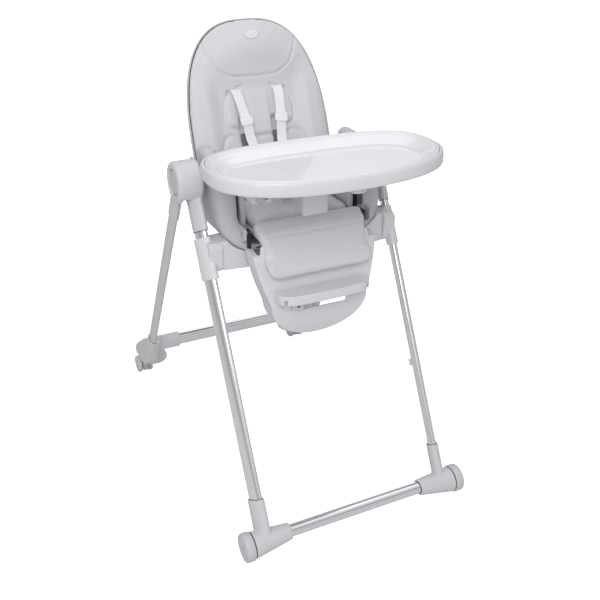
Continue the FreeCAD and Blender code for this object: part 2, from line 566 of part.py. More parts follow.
def make_seat():
    profile = side_plate(SEAT_FRONT_EDGE + SEAT_REAR_EDGE, -BIG, BIG)
    outer = u_section(SEAT_HALF_WIDTH, SEAT_FLOOR_Z, SEAT_CORNER, 240, 540)
    inner = u_section(SEAT_HALF_WIDTH - SEAT_WALL, SEAT_FLOOR_Z + SEAT_WALL, SEAT_CORNER - SEAT_WALL, 230, 550)
    shell = outer.cut(inner).common(profile)
    rim_inner = u_section(SEAT_HALF_WIDTH - SEAT_SIDE_RIM, SEAT_FLOOR_Z + SEAT_FLOOR_RIM,
                          SEAT_CORNER - SEAT_SIDE_RIM / 2, 230, 550)
    behind = profile.copy()
    behind.translate(V(0, SEAT_RIM_THICK + 2, 0))
    rim = outer.cut(rim_inner).common(profile).cut(behind)
    rim = rim.cut(box(-BIG, BIG, 430, BIG, -BIG, BIG))
    shell = shell.fuse(rim).removeSplitter()
    recline = recline_axis()
    pin_room = rod_x(RECLINE_PIN_RADIUS, -BIG, BIG, recline.y, recline.z)
    shell = shell.cut(pin_room)
    nodes["seat_shell"] = shell

    bracket = front_plate([(SLIDER_ARM_X, 632), (SLIDER_ARM_X, 566), (BEAM_HALF_WIDTH + 12, 562),
                           (BEAM_HALF_WIDTH, 572), (BEAM_HALF_WIDTH, 600), (BEAM_HALF_WIDTH + 26, 632)], 266, 326)
    bracket = rounded(bracket, 6.0, X_AXIS).cut(outer)
    beam = box(-BEAM_HALF_WIDTH, BEAM_HALF_WIDTH, BEAM_Y[0], BEAM_Y[1], BEAM_BOTTOM_Z, SEAT_FLOOR_Z)
    hollow = box(-BEAM_HALF_WIDTH, BEAM_HALF_WIDTH, BEAM_Y[0] + 3, BEAM_Y[1] - 3, BEAM_BOTTOM_Z + 3, SEAT_FLOOR_Z - 3)
    nodes["seat_beam"] = beam.cut(hollow)
    nodes["seat_brackets"] = pair(bracket)

    pan_front = LEGREST_PIN_Y + ROLL_RADIUS + 4
    pan = box(-PAN_HALF_WIDTH, PAN_HALF_WIDTH, pan_front, PAN_REAR_Y, PAN_TOP_Z - PAN_THICK, PAN_TOP_Z)
    webs = [box(x - 3, x + 3, pan_front + 6, PAN_REAR_Y, SEAT_FLOOR_Z + SEAT_WALL, PAN_TOP_Z - PAN_THICK)
            for x in (-95, 95)]
    pan = pan.fuse(webs)
    cheek = side_plate([(244, 660), (244, 636), (290, 608), (330, 608), (330, PAN_TOP_Z), (272, 662)],
                       CHEEK_X, CHEEK_X + CHEEK_THICK)
    floor_tie = box(PAN_HALF_WIDTH - 1, CHEEK_X + 1, 296, 330, PAN_TOP_Z - PAN_THICK, PAN_TOP_Z)
    right = cheek.fuse(floor_tie)
    pan = pan.fuse([right, right.mirror(V(0, 0, 0), X_AXIS)]).cut(inner_keep_out()).cut(shell)
    pin = rod_x(LEGREST_PIN_RADIUS, EAR_X[0] - 2, CHEEK_X + CHEEK_THICK, LEGREST_PIN_Y, LEGREST_PIN_Z)
    pan = pan.cut(pair(pin))
    nodes["seat_pan"] = pan.removeSplitter()
    nodes["legrest_pins"] = pair(pin)

    pad = box(-SIDE_PAD_X[0] + 0.5, SIDE_PAD_X[0] - 0.5, LEGREST_PIN_Y, PAN_REAR_Y, PAN_TOP_Z, PAD_TOP_Z)
    pad = pad.cut(rod_x(ROLL_RADIUS + 1.5, -BIG, BIG, LEGREST_PIN_Y, LEGREST_PIN_Z))
    nodes["seat_pad"] = pad
    side = side_plate([(298, PAN_TOP_Z + 1), (PAN_REAR_Y - 2, PAN_TOP_Z + 1), (PAN_REAR_Y, 742), (310, 742), (296, 700)],
                      SIDE_PAD_X[0], SIDE_PAD_X[1])
    side = rounded(side, 6.0)
    nodes["side_pads"] = pair(side)

    post = box(ARM_X[0], ARM_X[1], ARM_FRONT_Y, ARM_REAR_Y, 718, ARM_TOP_Z)
    post = rounded(post, 12.0, X_AXIS)
    rail = box(RAIL_X[0], RAIL_X[1], RAIL_FRONT_Y, ARM_FRONT_Y + 10, RAIL_Z[0], RAIL_Z[1])
    arm = post.fuse(rail).removeSplitter()
    both("armrest", arm.cut(nodes["seat_shell"]))


def inner_keep_out():
    """Everything outside the seat shell's inner face."""
    inner = u_section(SEAT_HALF_WIDTH - SEAT_WALL, SEAT_FLOOR_Z + SEAT_WALL, SEAT_CORNER - SEAT_WALL, 0, BIG)
    return box(-BIG, BIG, -BIG, BIG, -BIG, BIG).cut(inner)


def make_harness():
    buckle_y = 352.0
    buckle_z = 722.0
    buckle = box(-26, 26, buckle_y - 8, buckle_y + 8, buckle_z - 19, buckle_z + 19)
    nodes["harness_buckle"] = rounded(buckle, 4.0)
    crotch = band([V(0, buckle_y + 14, PAD_TOP_Z + 0.2), V(0, buckle_y + 2, buckle_z - 19)], STRAP_WIDTH, STRAP_THICK)
    crotch = crotch.cut(nodes["harness_buckle"]).cut(nodes["seat_pad"])
    waist = box(26, SIDE_PAD_X[0], buckle_y - 1, buckle_y + 1, buckle_z - STRAP_WIDTH / 2, buckle_z + STRAP_WIDTH / 2)
    nodes["lap_straps"] = Part.makeCompound([crotch, waist, waist.mirror(V(0, 0, 0), X_AXIS)])
    slot = back_point(0, -1.2, 258)
    route = [V(54, slot.y, slot.z), V(45, 488, 834), V(37, 466, 772), V(16, buckle_y + 6, buckle_z + 24)]
    strap = band(route, STRAP_WIDTH, STRAP_THICK)
    adjuster = box(-15, 15, -5, 5, -13, 13)
    adjuster = rounded(adjuster, 3.0)
    adjuster.rotate(V(0, 0, 0), X_AXIS, -45.0)
    adjuster.translate(V(44, 485, 826))
    nodes["strap_adjusters"] = pair(adjuster)
    nodes["shoulder_straps"] = pair(strap.cut(adjuster))


# ---- backrest ------------------------------------------------------------------------------
def recline_axis():
    return back_point(0, RECLINE_DEEP, RECLINE_UP)


def back_half(up):
    """Half width of the back at a height below its shoulder."""
    share = max(0.0, BACK_SHOULDER - up) / BACK_SHOULDER
    return BACK_HALF_WIDTH + BACK_FOOT_FLARE * share ** BACK_FLARE_POWER


def back_outline(inset, deep0, deep1):
    """Plate with the back's outline, shrunk by `inset`, in the backrest's own frame."""
    half = BACK_HALF_WIDTH - inset
    rise = BACK_TOP - inset - BACK_SHOULDER
    steps = 24
    points = []
    for i in range(steps + 1):
        angle = math.pi * i / steps
        x = math.copysign(abs(math.cos(angle)) ** (2 / BACK_POWER), math.cos(angle)) * half
        points.append(V(x, deep0, BACK_SHOULDER + math.sin(angle) ** (2 / BACK_POWER) * rise))
    crown = Part.BSplineCurve()
    crown.interpolate(points)
    rows = 8
    side_points = []
    for i in range(rows + 1):
        up = BACK_SHOULDER - (BACK_SHOULDER - inset) * i / rows
        side_points.append(V(back_half(up) - inset, deep0, up))
    right = Part.BSplineCurve()
    right.interpolate(side_points)
    left = Part.BSplineCurve()
    left.interpolate([V(-p.x, p.y, p.z) for p in side_points])
    low = side_points[-1]
    edges = [crown.toShape(), left.toShape(), Part.makeLine(V(-low.x, low.y, low.z), low), right.toShape()]
    plate = Part.Face(Part.Wire(edges)).extrude(V(0, deep1 - deep0, 0))
    corners = [e for e in plate.Edges if abs(e.CenterOfMass.y - deep0) > 0.5 and abs(e.CenterOfMass.y - deep1) > 0.5
               and e.CenterOfMass.z < BACK_SHOULDER / 2]
    plate = plate.makeFillet(BACK_CORNER - inset, corners)
    rear = [e for e in plate.Edges if abs(e.CenterOfMass.y - deep1) < 0.5]
    return plate.makeFillet(BACK_REAR_ROUND - inset, rear)


def make_backrest():
    outer = back_outline(0, BACK_SHELL_FRONT, BACK_DEPTH)
    inner = back_outline(BACK_SHELL_WALL, BACK_SHELL_FRONT - 1, BACK_DEPTH - BACK_SHELL_WALL)
    shell = on_back(outer.cut(inner))
    recline = recline_axis()
    lug_x0 = back_half(RECLINE_UP) - 14
    lug_x1 = SEAT_HALF_WIDTH - SEAT_WALL - PART_GAP
    lug = rod_x(RECLINE_PIN_RADIUS + 8, lug_x0, lug_x1, recline.y, recline.z)
    shell = shell.fuse([lug, lug.mirror(V(0, 0, 0), X_AXIS)])
    shell = shell.cut(pair(rod_x(RECLINE_PIN_RADIUS + RUN_CLEARANCE, lug_x0 - 1, BIG, recline.y, recline.z)))
    pin = rod_x(RECLINE_PIN_RADIUS, lug_x0 + 1, SEAT_HALF_WIDTH, recline.y, recline.z)
    nodes["recline_pins"] = pair(pin)

    guide = box(-48, 48, BACK_DEPTH, BACK_DEPTH + 12, HANDLE_UP - 30, HANDLE_UP + 40)
    guide = guide.cut(box(-44, 44, BACK_DEPTH + 3, BACK_DEPTH + 13, HANDLE_UP - 26, HANDLE_UP + 36))
    shell = shell.fuse(on_back(guide))
    nodes["backrest_shell"] = shell.removeSplitter()
    grip = box(-40, 40, BACK_DEPTH + 3.4, BACK_DEPTH + 15, HANDLE_UP - 16, HANDLE_UP + 14)
    nodes["recline_handle"] = on_back(rounded(grip, 3.0))

    pad = back_outline(BACK_SHELL_WALL + 1, 0, BACK_DEPTH - BACK_SHELL_WALL)
    front = [e for e in pad.Edges if abs(e.CenterOfMass.y) < 0.5]
    pad = pad.makeFillet(8.0, front)
    keep = rod_x(RECLINE_PIN_RADIUS + 9, lug_x0 - 1, BIG, recline.y, recline.z)
    pad = on_back(pad).cut(pair(keep))
    nodes["backrest_pad"] = pad
    badge = oval(17, 11, 0, 3)
    badge.rotate(V(0, 0, 0), X_AXIS, 90)
    badge.rotate(V(0, 0, 0), V(0, 1, 0), 90)
    badge.translate(V(0, 0, BADGE_UP))
    nodes["badge"] = on_back(badge)


# ---- leg rest ------------------------------------------------------------------------------
PANEL_FRONT = [(222, 640), (211, 600), (200, 550), (191, 510), (187.5, 474), (191, 430), (202, 385)]
PANEL_REAR = [(252, 640), (256, 600), (256, 550), (252, 510), (246, 474), (236, 430), (222, 385)]


def panel_outline(inset, y0, y1):
    half_top = PANEL_HALF_TOP - inset
    half = min(PANEL_HALF_WIDTH, PANEL_HALF_TOP - PANEL_WAIST[-1][0]) - inset
    low = PANEL_ROUND_Z
    drop = PANEL_ROUND_Z - PANEL_BOTTOM_Z - inset
    top = PANEL_TOP_Z + (10 if inset else 0)
    side_points = [(half_top, top)] + [(half_top - step, z) for step, z in PANEL_WAIST]
    points = []
    steps = 16
    for i in range(steps + 1):
        angle = math.pi * i / steps
        points.append(V(math.cos(angle) * half, y0, low - math.sin(angle) * drop))
    bowl = Part.BSplineCurve()
    bowl.interpolate(points)
    right = [V(x, y0, z) for x, z in side_points] + [points[0]]
    left = [V(-p.x, p.y, p.z) for p in reversed(right)]
    edges = Part.makePolygon(right).Edges + [bowl.toShape()] + Part.makePolygon(left).Edges
    edges.append(Part.makeLine(left[-1], right[0]))
    return Part.Face(Part.Wire(edges)).extrude(V(0, y1 - y0, 0))


def make_legrest():
    bulk = smooth_side(PANEL_FRONT, PANEL_REAR, -BIG, BIG)
    front = [(y + PANEL_WALL, z) for y, z in PANEL_FRONT]
    rear = [(y + 40, z) for y, z in PANEL_REAR]
    front[0] = (front[0][0], front[0][1] + 20)
    rear[0] = (rear[0][0], rear[0][1] + 20)
    hollow = smooth_side(front, rear, -BIG, BIG)
    panel = bulk.common(panel_outline(0, 150, 300)).cut(hollow.common(panel_outline(PANEL_WALL, 150, 320)))
    panel = panel.cut(box(-SLOT_HALF_LENGTH, SLOT_HALF_LENGTH, 150, 230, SLOT_Z - SLOT_HEIGHT / 2, SLOT_Z + SLOT_HEIGHT / 2))
    for x in (-HOOK_X, HOOK_X):
        panel = panel.cut(box(x - 5, x + 5, 150, 230, HOOK_Z - 6 - FOOT_TRAVEL, HOOK_Z + 6))
    ear = side_plate([(218, 618), (246, 612), (268, 640), (262, 661), (252, 661), (238, 650)], EAR_X[0], EAR_X[1])
    boss = rod_x(13.0, EAR_X[0], EAR_X[1], LEGREST_PIN_Y, LEGREST_PIN_Z)
    foot_of_ear = side_plate([(212, 604), (252, 604), (246, 626), (216, 626)], EAR_X[0], PANEL_HALF_TOP)
    right = ear.fuse([boss, foot_of_ear])
    panel = panel.fuse([right, right.mirror(V(0, 0, 0), X_AXIS)])
    bore = rod_x(LEGREST_PIN_RADIUS + RUN_CLEARANCE, 130, BIG, LEGREST_PIN_Y, LEGREST_PIN_Z)
    nodes["legrest_panel"] = panel.cut(pair(bore)).removeSplitter()

    roll = rod_x(ROLL_RADIUS, -CALF_HALF_WIDTH, CALF_HALF_WIDTH, LEGREST_PIN_Y, LEGREST_PIN_Z)
    slab = side_plate([(240, 657), (224, 650), (206, 613), (174, 572), (176, 563), (200, 563), (210, 600), (222, 640),
                       (262, 629)], -CALF_HALF_WIDTH, CALF_HALF_WIDTH)
    calf = roll.fuse(slab).removeSplitter().cut(bulk)
    nodes["calf_pad"] = calf


def make_footrest():
    half = FOOT_HALF_WIDTH
    plan = [V(-half, FOOT_BACK_Y, 0), V(-half, 172, 0)]
    edge = Part.BSplineCurve()
    edge.interpolate([V(-half, 172, 0), V(-half + 5, 161, 0), V(-half + 22, 150, 0), V(-60, FOOT_FRONT_Y + 2, 0),
                      V(0, FOOT_FRONT_Y, 0), V(60, FOOT_FRONT_Y + 2, 0), V(half - 22, 150, 0), V(half - 5, 161, 0),
                      V(half, 172, 0)])
    edges = [Part.makeLine(plan[0], plan[1]), edge.toShape(), Part.makeLine(V(half, 172, 0), V(half, FOOT_BACK_Y, 0)),
             Part.makeLine(V(half, FOOT_BACK_Y, 0), plan[0])]
    face = Part.Face(Part.Wire(edges))
    face.translate(V(0, 0, FOOT_TOP_Z - FOOT_LIP))
    shelf = face.extrude(V(0, 0, FOOT_LIP))
    under = box(-half + 8, half - 8, FOOT_FRONT_Y + 10, BIG, FOOT_TOP_Z - FOOT_LIP - 1, FOOT_TOP_Z - FOOT_THICK)
    shelf = shelf.cut(under)
    back_plate = box(-half, half, FOOT_BACK_Y - 5, FOOT_BACK_Y, FOOT_TOP_Z - FOOT_LIP, FOOT_TOP_Z)
    tab = box(-72, -46, FOOT_BACK_Y - 6, FOOT_BACK_Y - 1, SLOT_Z - 5, FOOT_TOP_Z - FOOT_LIP + 2)
    shelf = shelf.fuse([back_plate, tab])
    hooks = []
    for x in (-HOOK_X, HOOK_X):
        stem = box(x - 4, x + 4, FOOT_BACK_Y - 1, 202, HOOK_Z - 5, HOOK_Z + 5)
        head = box(x - 9, x + 9, 202, 206, HOOK_Z - 5, HOOK_Z + 5)
        hooks += [stem, head]
    nodes["footrest"] = shelf.fuse(hooks).removeSplitter()
    screw = Part.makeCylinder(4.0, 2.2, V(-58, FOOT_BACK_Y - 6, SLOT_Z + 5), V(0, -1, 0))
    nodes["footrest_screw"] = screw


# ---- tray ----------------------------------------------------------------------------------
def tray_outline(inset, z0, z1):
    half = TRAY_HALF_WIDTH - inset
    steps = 24

    def arc(depth, power, sign):
        points = []
        for i in range(steps + 1):
            angle = math.pi * i / steps
            c = math.cos(angle)
            x = math.copysign(abs(c) ** (2 / power), c) * half * sign
            y = TRAY_Y - sign * abs(math.sin(angle)) ** (2 / power) * (depth - inset)
            points.append(V(x, y, z0))
        curve = Part.BSplineCurve()
        curve.interpolate(points)
        return curve.toShape()

    front = arc(TRAY_FRONT, TRAY_FRONT_POWER, 1)
    back = arc(TRAY_BACK, TRAY_BACK_POWER, -1)
    return Part.Face(Part.Wire([front, back])).extrude(V(0, 0, z1 - z0))


def make_tray():
    bottom = TRAY_TOP_Z - TRAY_HEIGHT
    base = tray_outline(0, bottom, TRAY_TOP_Z - 2)
    base = base.cut(tray_outline(TRAY_BORDER, bottom + TRAY_FLOOR, TRAY_TOP_Z + 10))
    inner0 = RAIL_X[0] - SLIDE_CLEARANCE
    inner1 = RAIL_X[1] + SLIDE_CLEARANCE
    channel = box(inner0 - 6, inner1 + 6, 112, 282, RAIL_Z[0] - 6, bottom)
    room = box(inner0, inner1, 0, BIG, RAIL_Z[0] - SLIDE_CLEARANCE, RAIL_Z[1] + SLIDE_CLEARANCE)
    gap = box(inner0 + 7, inner1 - 7, 0, BIG, RAIL_Z[0] - 10, RAIL_Z[0])
    channel = channel.cut(room).cut(gap)
    channels = [channel, channel.mirror(V(0, 0, 0), X_AXIS)]
    rib = box(-60, 60, 60, 64, bottom - 10, bottom)
    base = base.fuse(channels + [rib])
    nodes["tray_base"] = base.removeSplitter()

    divider = box(-DIVIDER_HALF_WIDTH, DIVIDER_HALF_WIDTH, DIVIDER_Y[0], DIVIDER_Y[1], DIVIDER_BOTTOM_Z, bottom)
    divider = rounded(divider, 9.0, V(0, 0, 1))
    low = [e for e in divider.Edges if e.CenterOfMass.z < DIVIDER_BOTTOM_Z + 0.1]
    nodes["tray_divider"] = divider.makeFillet(6.0, low)

    liner_low = bottom + TRAY_FLOOR + PART_GAP
    outer = tray_outline(TRAY_BORDER + SLIDE_CLEARANCE, liner_low, TRAY_TOP_Z)
    step = tray_outline(TRAY_BORDER + 5, liner_low + 14, TRAY_TOP_Z + 1)
    dish = tray_outline(TRAY_BORDER + 26, liner_low + LINER_THICK, TRAY_TOP_Z + 1)
    nodes["tray_liner"] = outer.cut(step).cut(dish)

    handle = oval(17, 11, bottom - 12, bottom - PART_GAP)
    handle.rotate(V(0, 0, 0), V(0, 0, 1), 90)
    handle.translate(V(0, TRAY_Y - TRAY_FRONT + 18, 0))
    low = [e for e in handle.Edges if e.CenterOfMass.z < bottom - 11.9]
    nodes["tray_handle"] = handle.makeFillet(5.0, low)


def export():
    os.makedirs("parts", exist_ok=True)
    for name, shape in nodes.items():
        moved = shape.copy()
        moved.translate(V(0, -Y_MID, 0))
        if not moved.isValid() or moved.Volume <= 0:
            print("bad solid:", name)
        moved.exportStep("parts/" + name + ".step")


def print_joints():
    """Joint axes and ranges that follow from the sizes above, in the exported position."""
    recline = recline_axis()
    rows = [("frame fold", HUB_Y, HUB_HEIGHT, FOLD_RANGE), ("front wheels", 0, FOOT_Z, 360),
            ("backrest recline", recline.y, recline.z, RECLINE_RANGE),
            ("leg rest tilt", LEGREST_PIN_Y, LEGREST_PIN_Z, LEGREST_RANGE),
            ("castor swivel", CASTOR_PIVOT_Y, HOOD_FLOOR_Z, 360),
            ("castor roll", CASTOR_PIVOT_Y + CASTOR_TRAIL, CASTOR_WHEEL_RADIUS, 360),
            ("brake", BRAKE_PIN_Y, BRAKE_PIN_Z, BRAKE_TRAVEL)]
    for name, y, z, degrees in rows:
        print("%-18s y %9.3f z %9.3f range %g degrees" % (name, y - Y_MID, z, degrees))
    slides = [("seat height", HEIGHT_TRAVEL), ("fold button", BUTTON_TRAVEL), ("height button", PADDLE_TRAVEL),
              ("recline handle", HANDLE_TRAVEL), ("footrest", FOOT_TRAVEL), ("tray depth", TRAY_TRAVEL),
              ("tray handle", TRAY_HANDLE_TRAVEL), ("liner", LINER_TRAVEL)]
    for name, travel in slides:
        print("%-18s travel %g mm" % (name, travel))


make_front_frame()
make_hub()
make_rear_frame()
make_castors()
make_sliders()
make_seat()
make_harness()
make_backrest()
make_legrest()
make_footrest()
make_tray()
export()
print_joints()
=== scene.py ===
import json
import math

import bmesh
import bpy
from mathutils import Matrix, Vector, noise


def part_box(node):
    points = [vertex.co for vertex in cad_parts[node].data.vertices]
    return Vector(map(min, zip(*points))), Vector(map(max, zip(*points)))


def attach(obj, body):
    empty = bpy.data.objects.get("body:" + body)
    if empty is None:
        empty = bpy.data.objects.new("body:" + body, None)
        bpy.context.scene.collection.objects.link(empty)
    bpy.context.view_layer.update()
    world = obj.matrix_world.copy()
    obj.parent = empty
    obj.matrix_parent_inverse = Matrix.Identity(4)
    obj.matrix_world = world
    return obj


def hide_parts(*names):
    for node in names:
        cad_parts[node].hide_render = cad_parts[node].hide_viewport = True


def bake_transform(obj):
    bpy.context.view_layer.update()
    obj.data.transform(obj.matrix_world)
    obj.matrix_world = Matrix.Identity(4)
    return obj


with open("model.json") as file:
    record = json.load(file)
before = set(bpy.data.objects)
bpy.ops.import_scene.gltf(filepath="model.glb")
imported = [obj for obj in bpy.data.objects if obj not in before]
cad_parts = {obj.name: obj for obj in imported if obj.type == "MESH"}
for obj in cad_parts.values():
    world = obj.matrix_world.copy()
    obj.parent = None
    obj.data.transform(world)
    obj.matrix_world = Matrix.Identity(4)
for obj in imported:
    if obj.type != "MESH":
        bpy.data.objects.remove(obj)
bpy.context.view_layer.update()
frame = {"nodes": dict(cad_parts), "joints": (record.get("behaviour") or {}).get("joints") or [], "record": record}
NODES = frame["nodes"]
MM = 0.001


# ------ places taken from the frame
def middle(node):
    return (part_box(node)[0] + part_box(node)[1]) / 2


JOINTS = {joint["name"]: joint for joint in frame["joints"]}
HUB = Vector(JOINTS["frame_fold"]["pos_m"])
RECLINE = Vector(JOINTS["backrest_recline"]["pos_m"])
FRONT_AXLE = middle("front_wheel_left")
FRONT_LEAN = math.atan2(HUB.y - FRONT_AXLE.y, HUB.z - FRONT_AXLE.z)
BACK_LEAN = math.radians(21.0)
BACK_FOOT = Vector((0, FRONT_AXLE.y + 0.434, 0.650))       # lower front edge of the back pad
BACK_PLACE = Matrix.Translation(BACK_FOOT) @ Matrix.Rotation(-BACK_LEAN, 4, "X")
SIDES = (("left", -1), ("right", 1))

# ------ sizes (mm and degrees where nothing else is said)
HUB_Z_MM = 745
HUB_Y_MM = (HUB.y - FRONT_AXLE.y) / MM
FRONT_LEAN_DEG = math.degrees(FRONT_LEAN)
REAR_LEAN_DEG = 32.0
HUB_ALONG = (HUB - Vector((0, FRONT_AXLE.y, FRONT_AXLE.z))).length / MM
FRONT_LEG_X = 229
REAR_LEG_X = 254
FRONT_WHEEL_Z = 32.5
CASTOR_Y = 861
CASTOR_Z = 25
CASTOR_MIDDLE_X = 251
CASTOR_HALF_TRACK = 15.5
FRONT_TUBE = (19.0, 9.75)                                  # half width and half thickness of the oval
REAR_TUBE = (17.0, 9.0)
TUBE_TOE = 22.0                                            # turn of the front tubes' ovals, outwards
TRAY_HALF_WIDTH = 257.0
TRAY_MIDDLE_Y = 171.5
TRAY_FRONT = 153.0
TRAY_FRONT_POWER = 2.3
TRAY_BACK = 132.0
TRAY_BACK_POWER = 3.15
BACK_HALF = 176.0
BACK_FLARE = 7.0
BACK_SHOULDER = 120.0
BACK_TOP = 418.0
BACK_POWER = 2.7
BACK_CORNER = 40.0
HEAD_PUFF = 15.0                                           # how far the head cushion swells
HEAD_BULGE = 16.0                                          # how far the badge stands forward on it
STRAP = (0.0235, 0.0019)                                   # width and thickness, in metres
SEAT_HALF = 198.0
SEAT_FLOOR_Z = 600.0
SEAT_TOP_Z = 770
SEAT_CORNER = 75.0
PAD_VOXEL = 4.0
CALF_SEAM_Z = 0.6445                                       # in metres, like the next two
PANEL_FOOT_Z = 0.470                                       # below this the panel is shortened
PANEL_EAR_Z = 0.606                                        # above this its ears are squashed down
SEAT_FRONT_EDGE = [(262, 600), (264, 608), (268, 622), (274, 645), (281, 680), (285, 720), (288, 770)]
SEAT_REAR_EDGE = [(448, 770), (470, 752), (494, 720), (506, 690), (508, 650), (490, 600)]


def at(x, y, z):
    """Millimetres from the front wheels' axle line and the floor, to metres in the frame."""
    return Vector((x * MM, FRONT_AXLE.y + y * MM, z * MM))


def on_back(x, deep, up):
    """Millimetres across, into and up the backrest, to metres in the frame."""
    y = deep * math.cos(BACK_LEAN) + up * math.sin(BACK_LEAN)
    z = up * math.cos(BACK_LEAN) - deep * math.sin(BACK_LEAN)
    return BACK_FOOT + Vector((x * MM, y * MM, z * MM))


# ------ materials
def new_material(name, color, roughness, **sockets):
    material = bpy.data.materials.new(name)
    material.use_nodes = True
    shader = material.node_tree.nodes["Principled BSDF"]
    shader.inputs["Base Color"].default_value = (*color, 1)
    shader.inputs["Roughness"].default_value = roughness
    for key, value in sockets.items():
        shader.inputs[key.replace("_", " ")].default_value = value
    return material, material.node_tree.nodes, material.node_tree.links, shader


def object_coords(nodes, links, scale):
    coords = nodes.new("ShaderNodeTexCoord")
    mapping = nodes.new("ShaderNodeMapping")
    mapping.inputs["Scale"].default_value = scale
    links.new(coords.outputs["Object"], mapping.inputs["Vector"])
    return mapping.outputs["Vector"]


def noise_node(nodes, links, vector, scale, detail=2.0, rough=0.5):
    node = nodes.new("ShaderNodeTexNoise")
    node.inputs["Scale"].default_value = scale
    node.inputs["Detail"].default_value = detail
    node.inputs["Roughness"].default_value = rough
    links.new(vector, node.inputs["Vector"])
    return node.outputs["Fac"]


def ramp(nodes, links, value, low_value, high_value, low_color, high_color):
    node = nodes.new("ShaderNodeValToRGB")
    node.color_ramp.elements[0].position = low_value
    node.color_ramp.elements[1].position = high_value
    node.color_ramp.elements[0].color = (*low_color, 1)
    node.color_ramp.elements[1].color = (*high_color, 1)
    links.new(value, node.inputs["Fac"])
    return node.outputs["Color"]


def spread(nodes, links, value, low_out, high_out, low_in=0.0, high_in=1.0):
    node = nodes.new("ShaderNodeMapRange")
    node.inputs["From Min"].default_value = low_in
    node.inputs["From Max"].default_value = high_in
    node.inputs["To Min"].default_value = low_out
    node.inputs["To Max"].default_value = high_out
    links.new(value, node.inputs["Value"])
    return node.outputs["Result"]


def add_bump(nodes, links, shader, height, strength, distance):
    bump = nodes.new("ShaderNodeBump")
    bump.inputs["Strength"].default_value = strength
    bump.inputs["Distance"].default_value = distance
    links.new(height, bump.inputs["Height"])
    links.new(bump.outputs["Normal"], shader.inputs["Normal"])


def shade(color, factor):
    return tuple(min(1.0, c * factor) for c in color)


def plastic(name, color, roughness, grain=0.25, coat=0.0):
    """Moulded plastic: slight tone drift, fine satin grain and uneven gloss."""
    material, nodes, links, shader = new_material(name, color, roughness, Coat_Weight=coat)
    vector = object_coords(nodes, links, (1, 1, 1))
    tone = noise_node(nodes, links, vector, 9.0, 3.0)
    links.new(ramp(nodes, links, tone, 0.3, 0.7, shade(color, 0.975), shade(color, 1.015)),
              shader.inputs["Base Color"])
    fine = noise_node(nodes, links, vector, 1400.0, 2.0)
    links.new(spread(nodes, links, fine, roughness - 0.05, roughness + 0.06), shader.inputs["Roughness"])
    add_bump(nodes, links, shader, fine, grain, 0.0002)
    return material


def leatherette(name, color):
    """Soft coated fabric: pebbled grain, soft creases and a light sheen."""
    material, nodes, links, shader = new_material(name, color, 0.52, Sheen_Weight=0.15, Sheen_Roughness=0.5)
    vector = object_coords(nodes, links, (1, 1, 1))
    tone = noise_node(nodes, links, vector, 7.0, 4.0)
    links.new(ramp(nodes, links, tone, 0.3, 0.72, shade(color, 0.965), shade(color, 1.02)),
              shader.inputs["Base Color"])
    cells = nodes.new("ShaderNodeTexVoronoi")
    cells.feature = "DISTANCE_TO_EDGE"
    cells.inputs["Scale"].default_value = 620.0
    links.new(vector, cells.inputs["Vector"])
    crease = noise_node(nodes, links, vector, 160.0, 3.0)
    mix = nodes.new("ShaderNodeMath")
    mix.operation = "MULTIPLY_ADD"
    mix.inputs[1].default_value = 0.6
    links.new(crease, mix.inputs[0])
    links.new(cells.outputs["Distance"], mix.inputs[2])
    links.new(spread(nodes, links, crease, 0.46, 0.6), shader.inputs["Roughness"])
    add_bump(nodes, links, shader, mix.outputs["Value"], 0.32, 0.0004)
    return material


def webbing(name, color):
    """Woven strap: ribs across the strap and a fine twill along it."""
    material, nodes, links, shader = new_material(name, color, 0.78, Sheen_Weight=0.3)
    vector = object_coords(nodes, links, (1, 1, 1))
    rib = nodes.new("ShaderNodeTexWave")
    rib.bands_direction = "DIAGONAL"
    rib.inputs["Scale"].default_value = 260.0
    rib.inputs["Distortion"].default_value = 1.2
    links.new(vector, rib.inputs["Vector"])
    along = nodes.new("ShaderNodeTexWave")
    along.bands_direction = "X"
    along.inputs["Scale"].default_value = 420.0
    links.new(vector, along.inputs["Vector"])
    weave = nodes.new("ShaderNodeMath")
    weave.operation = "MAXIMUM"
    links.new(rib.outputs["Fac"], weave.inputs[0])
    links.new(along.outputs["Fac"], weave.inputs[1])
    links.new(ramp(nodes, links, weave.outputs["Value"], 0.2, 0.9, shade(color, 0.86), color),
              shader.inputs["Base Color"])
    add_bump(nodes, links, shader, weave.outputs["Value"], 0.6, 0.0005)
    return material


def polished_metal(name, color, roughness, stretch):
    """Drawn tube: fine lines along the tube and a bright, slightly uneven polish."""
    material, nodes, links, shader = new_material(name, color, roughness, Metallic=1.0)
    vector = object_coords(nodes, links, stretch)
    lines = noise_node(nodes, links, vector, 300.0, 3.0)
    links.new(ramp(nodes, links, lines, 0.3, 0.7, shade(color, 0.94), shade(color, 1.03)),
              shader.inputs["Base Color"])
    links.new(spread(nodes, links, lines, roughness - 0.04, roughness + 0.07), shader.inputs["Roughness"])
    return material


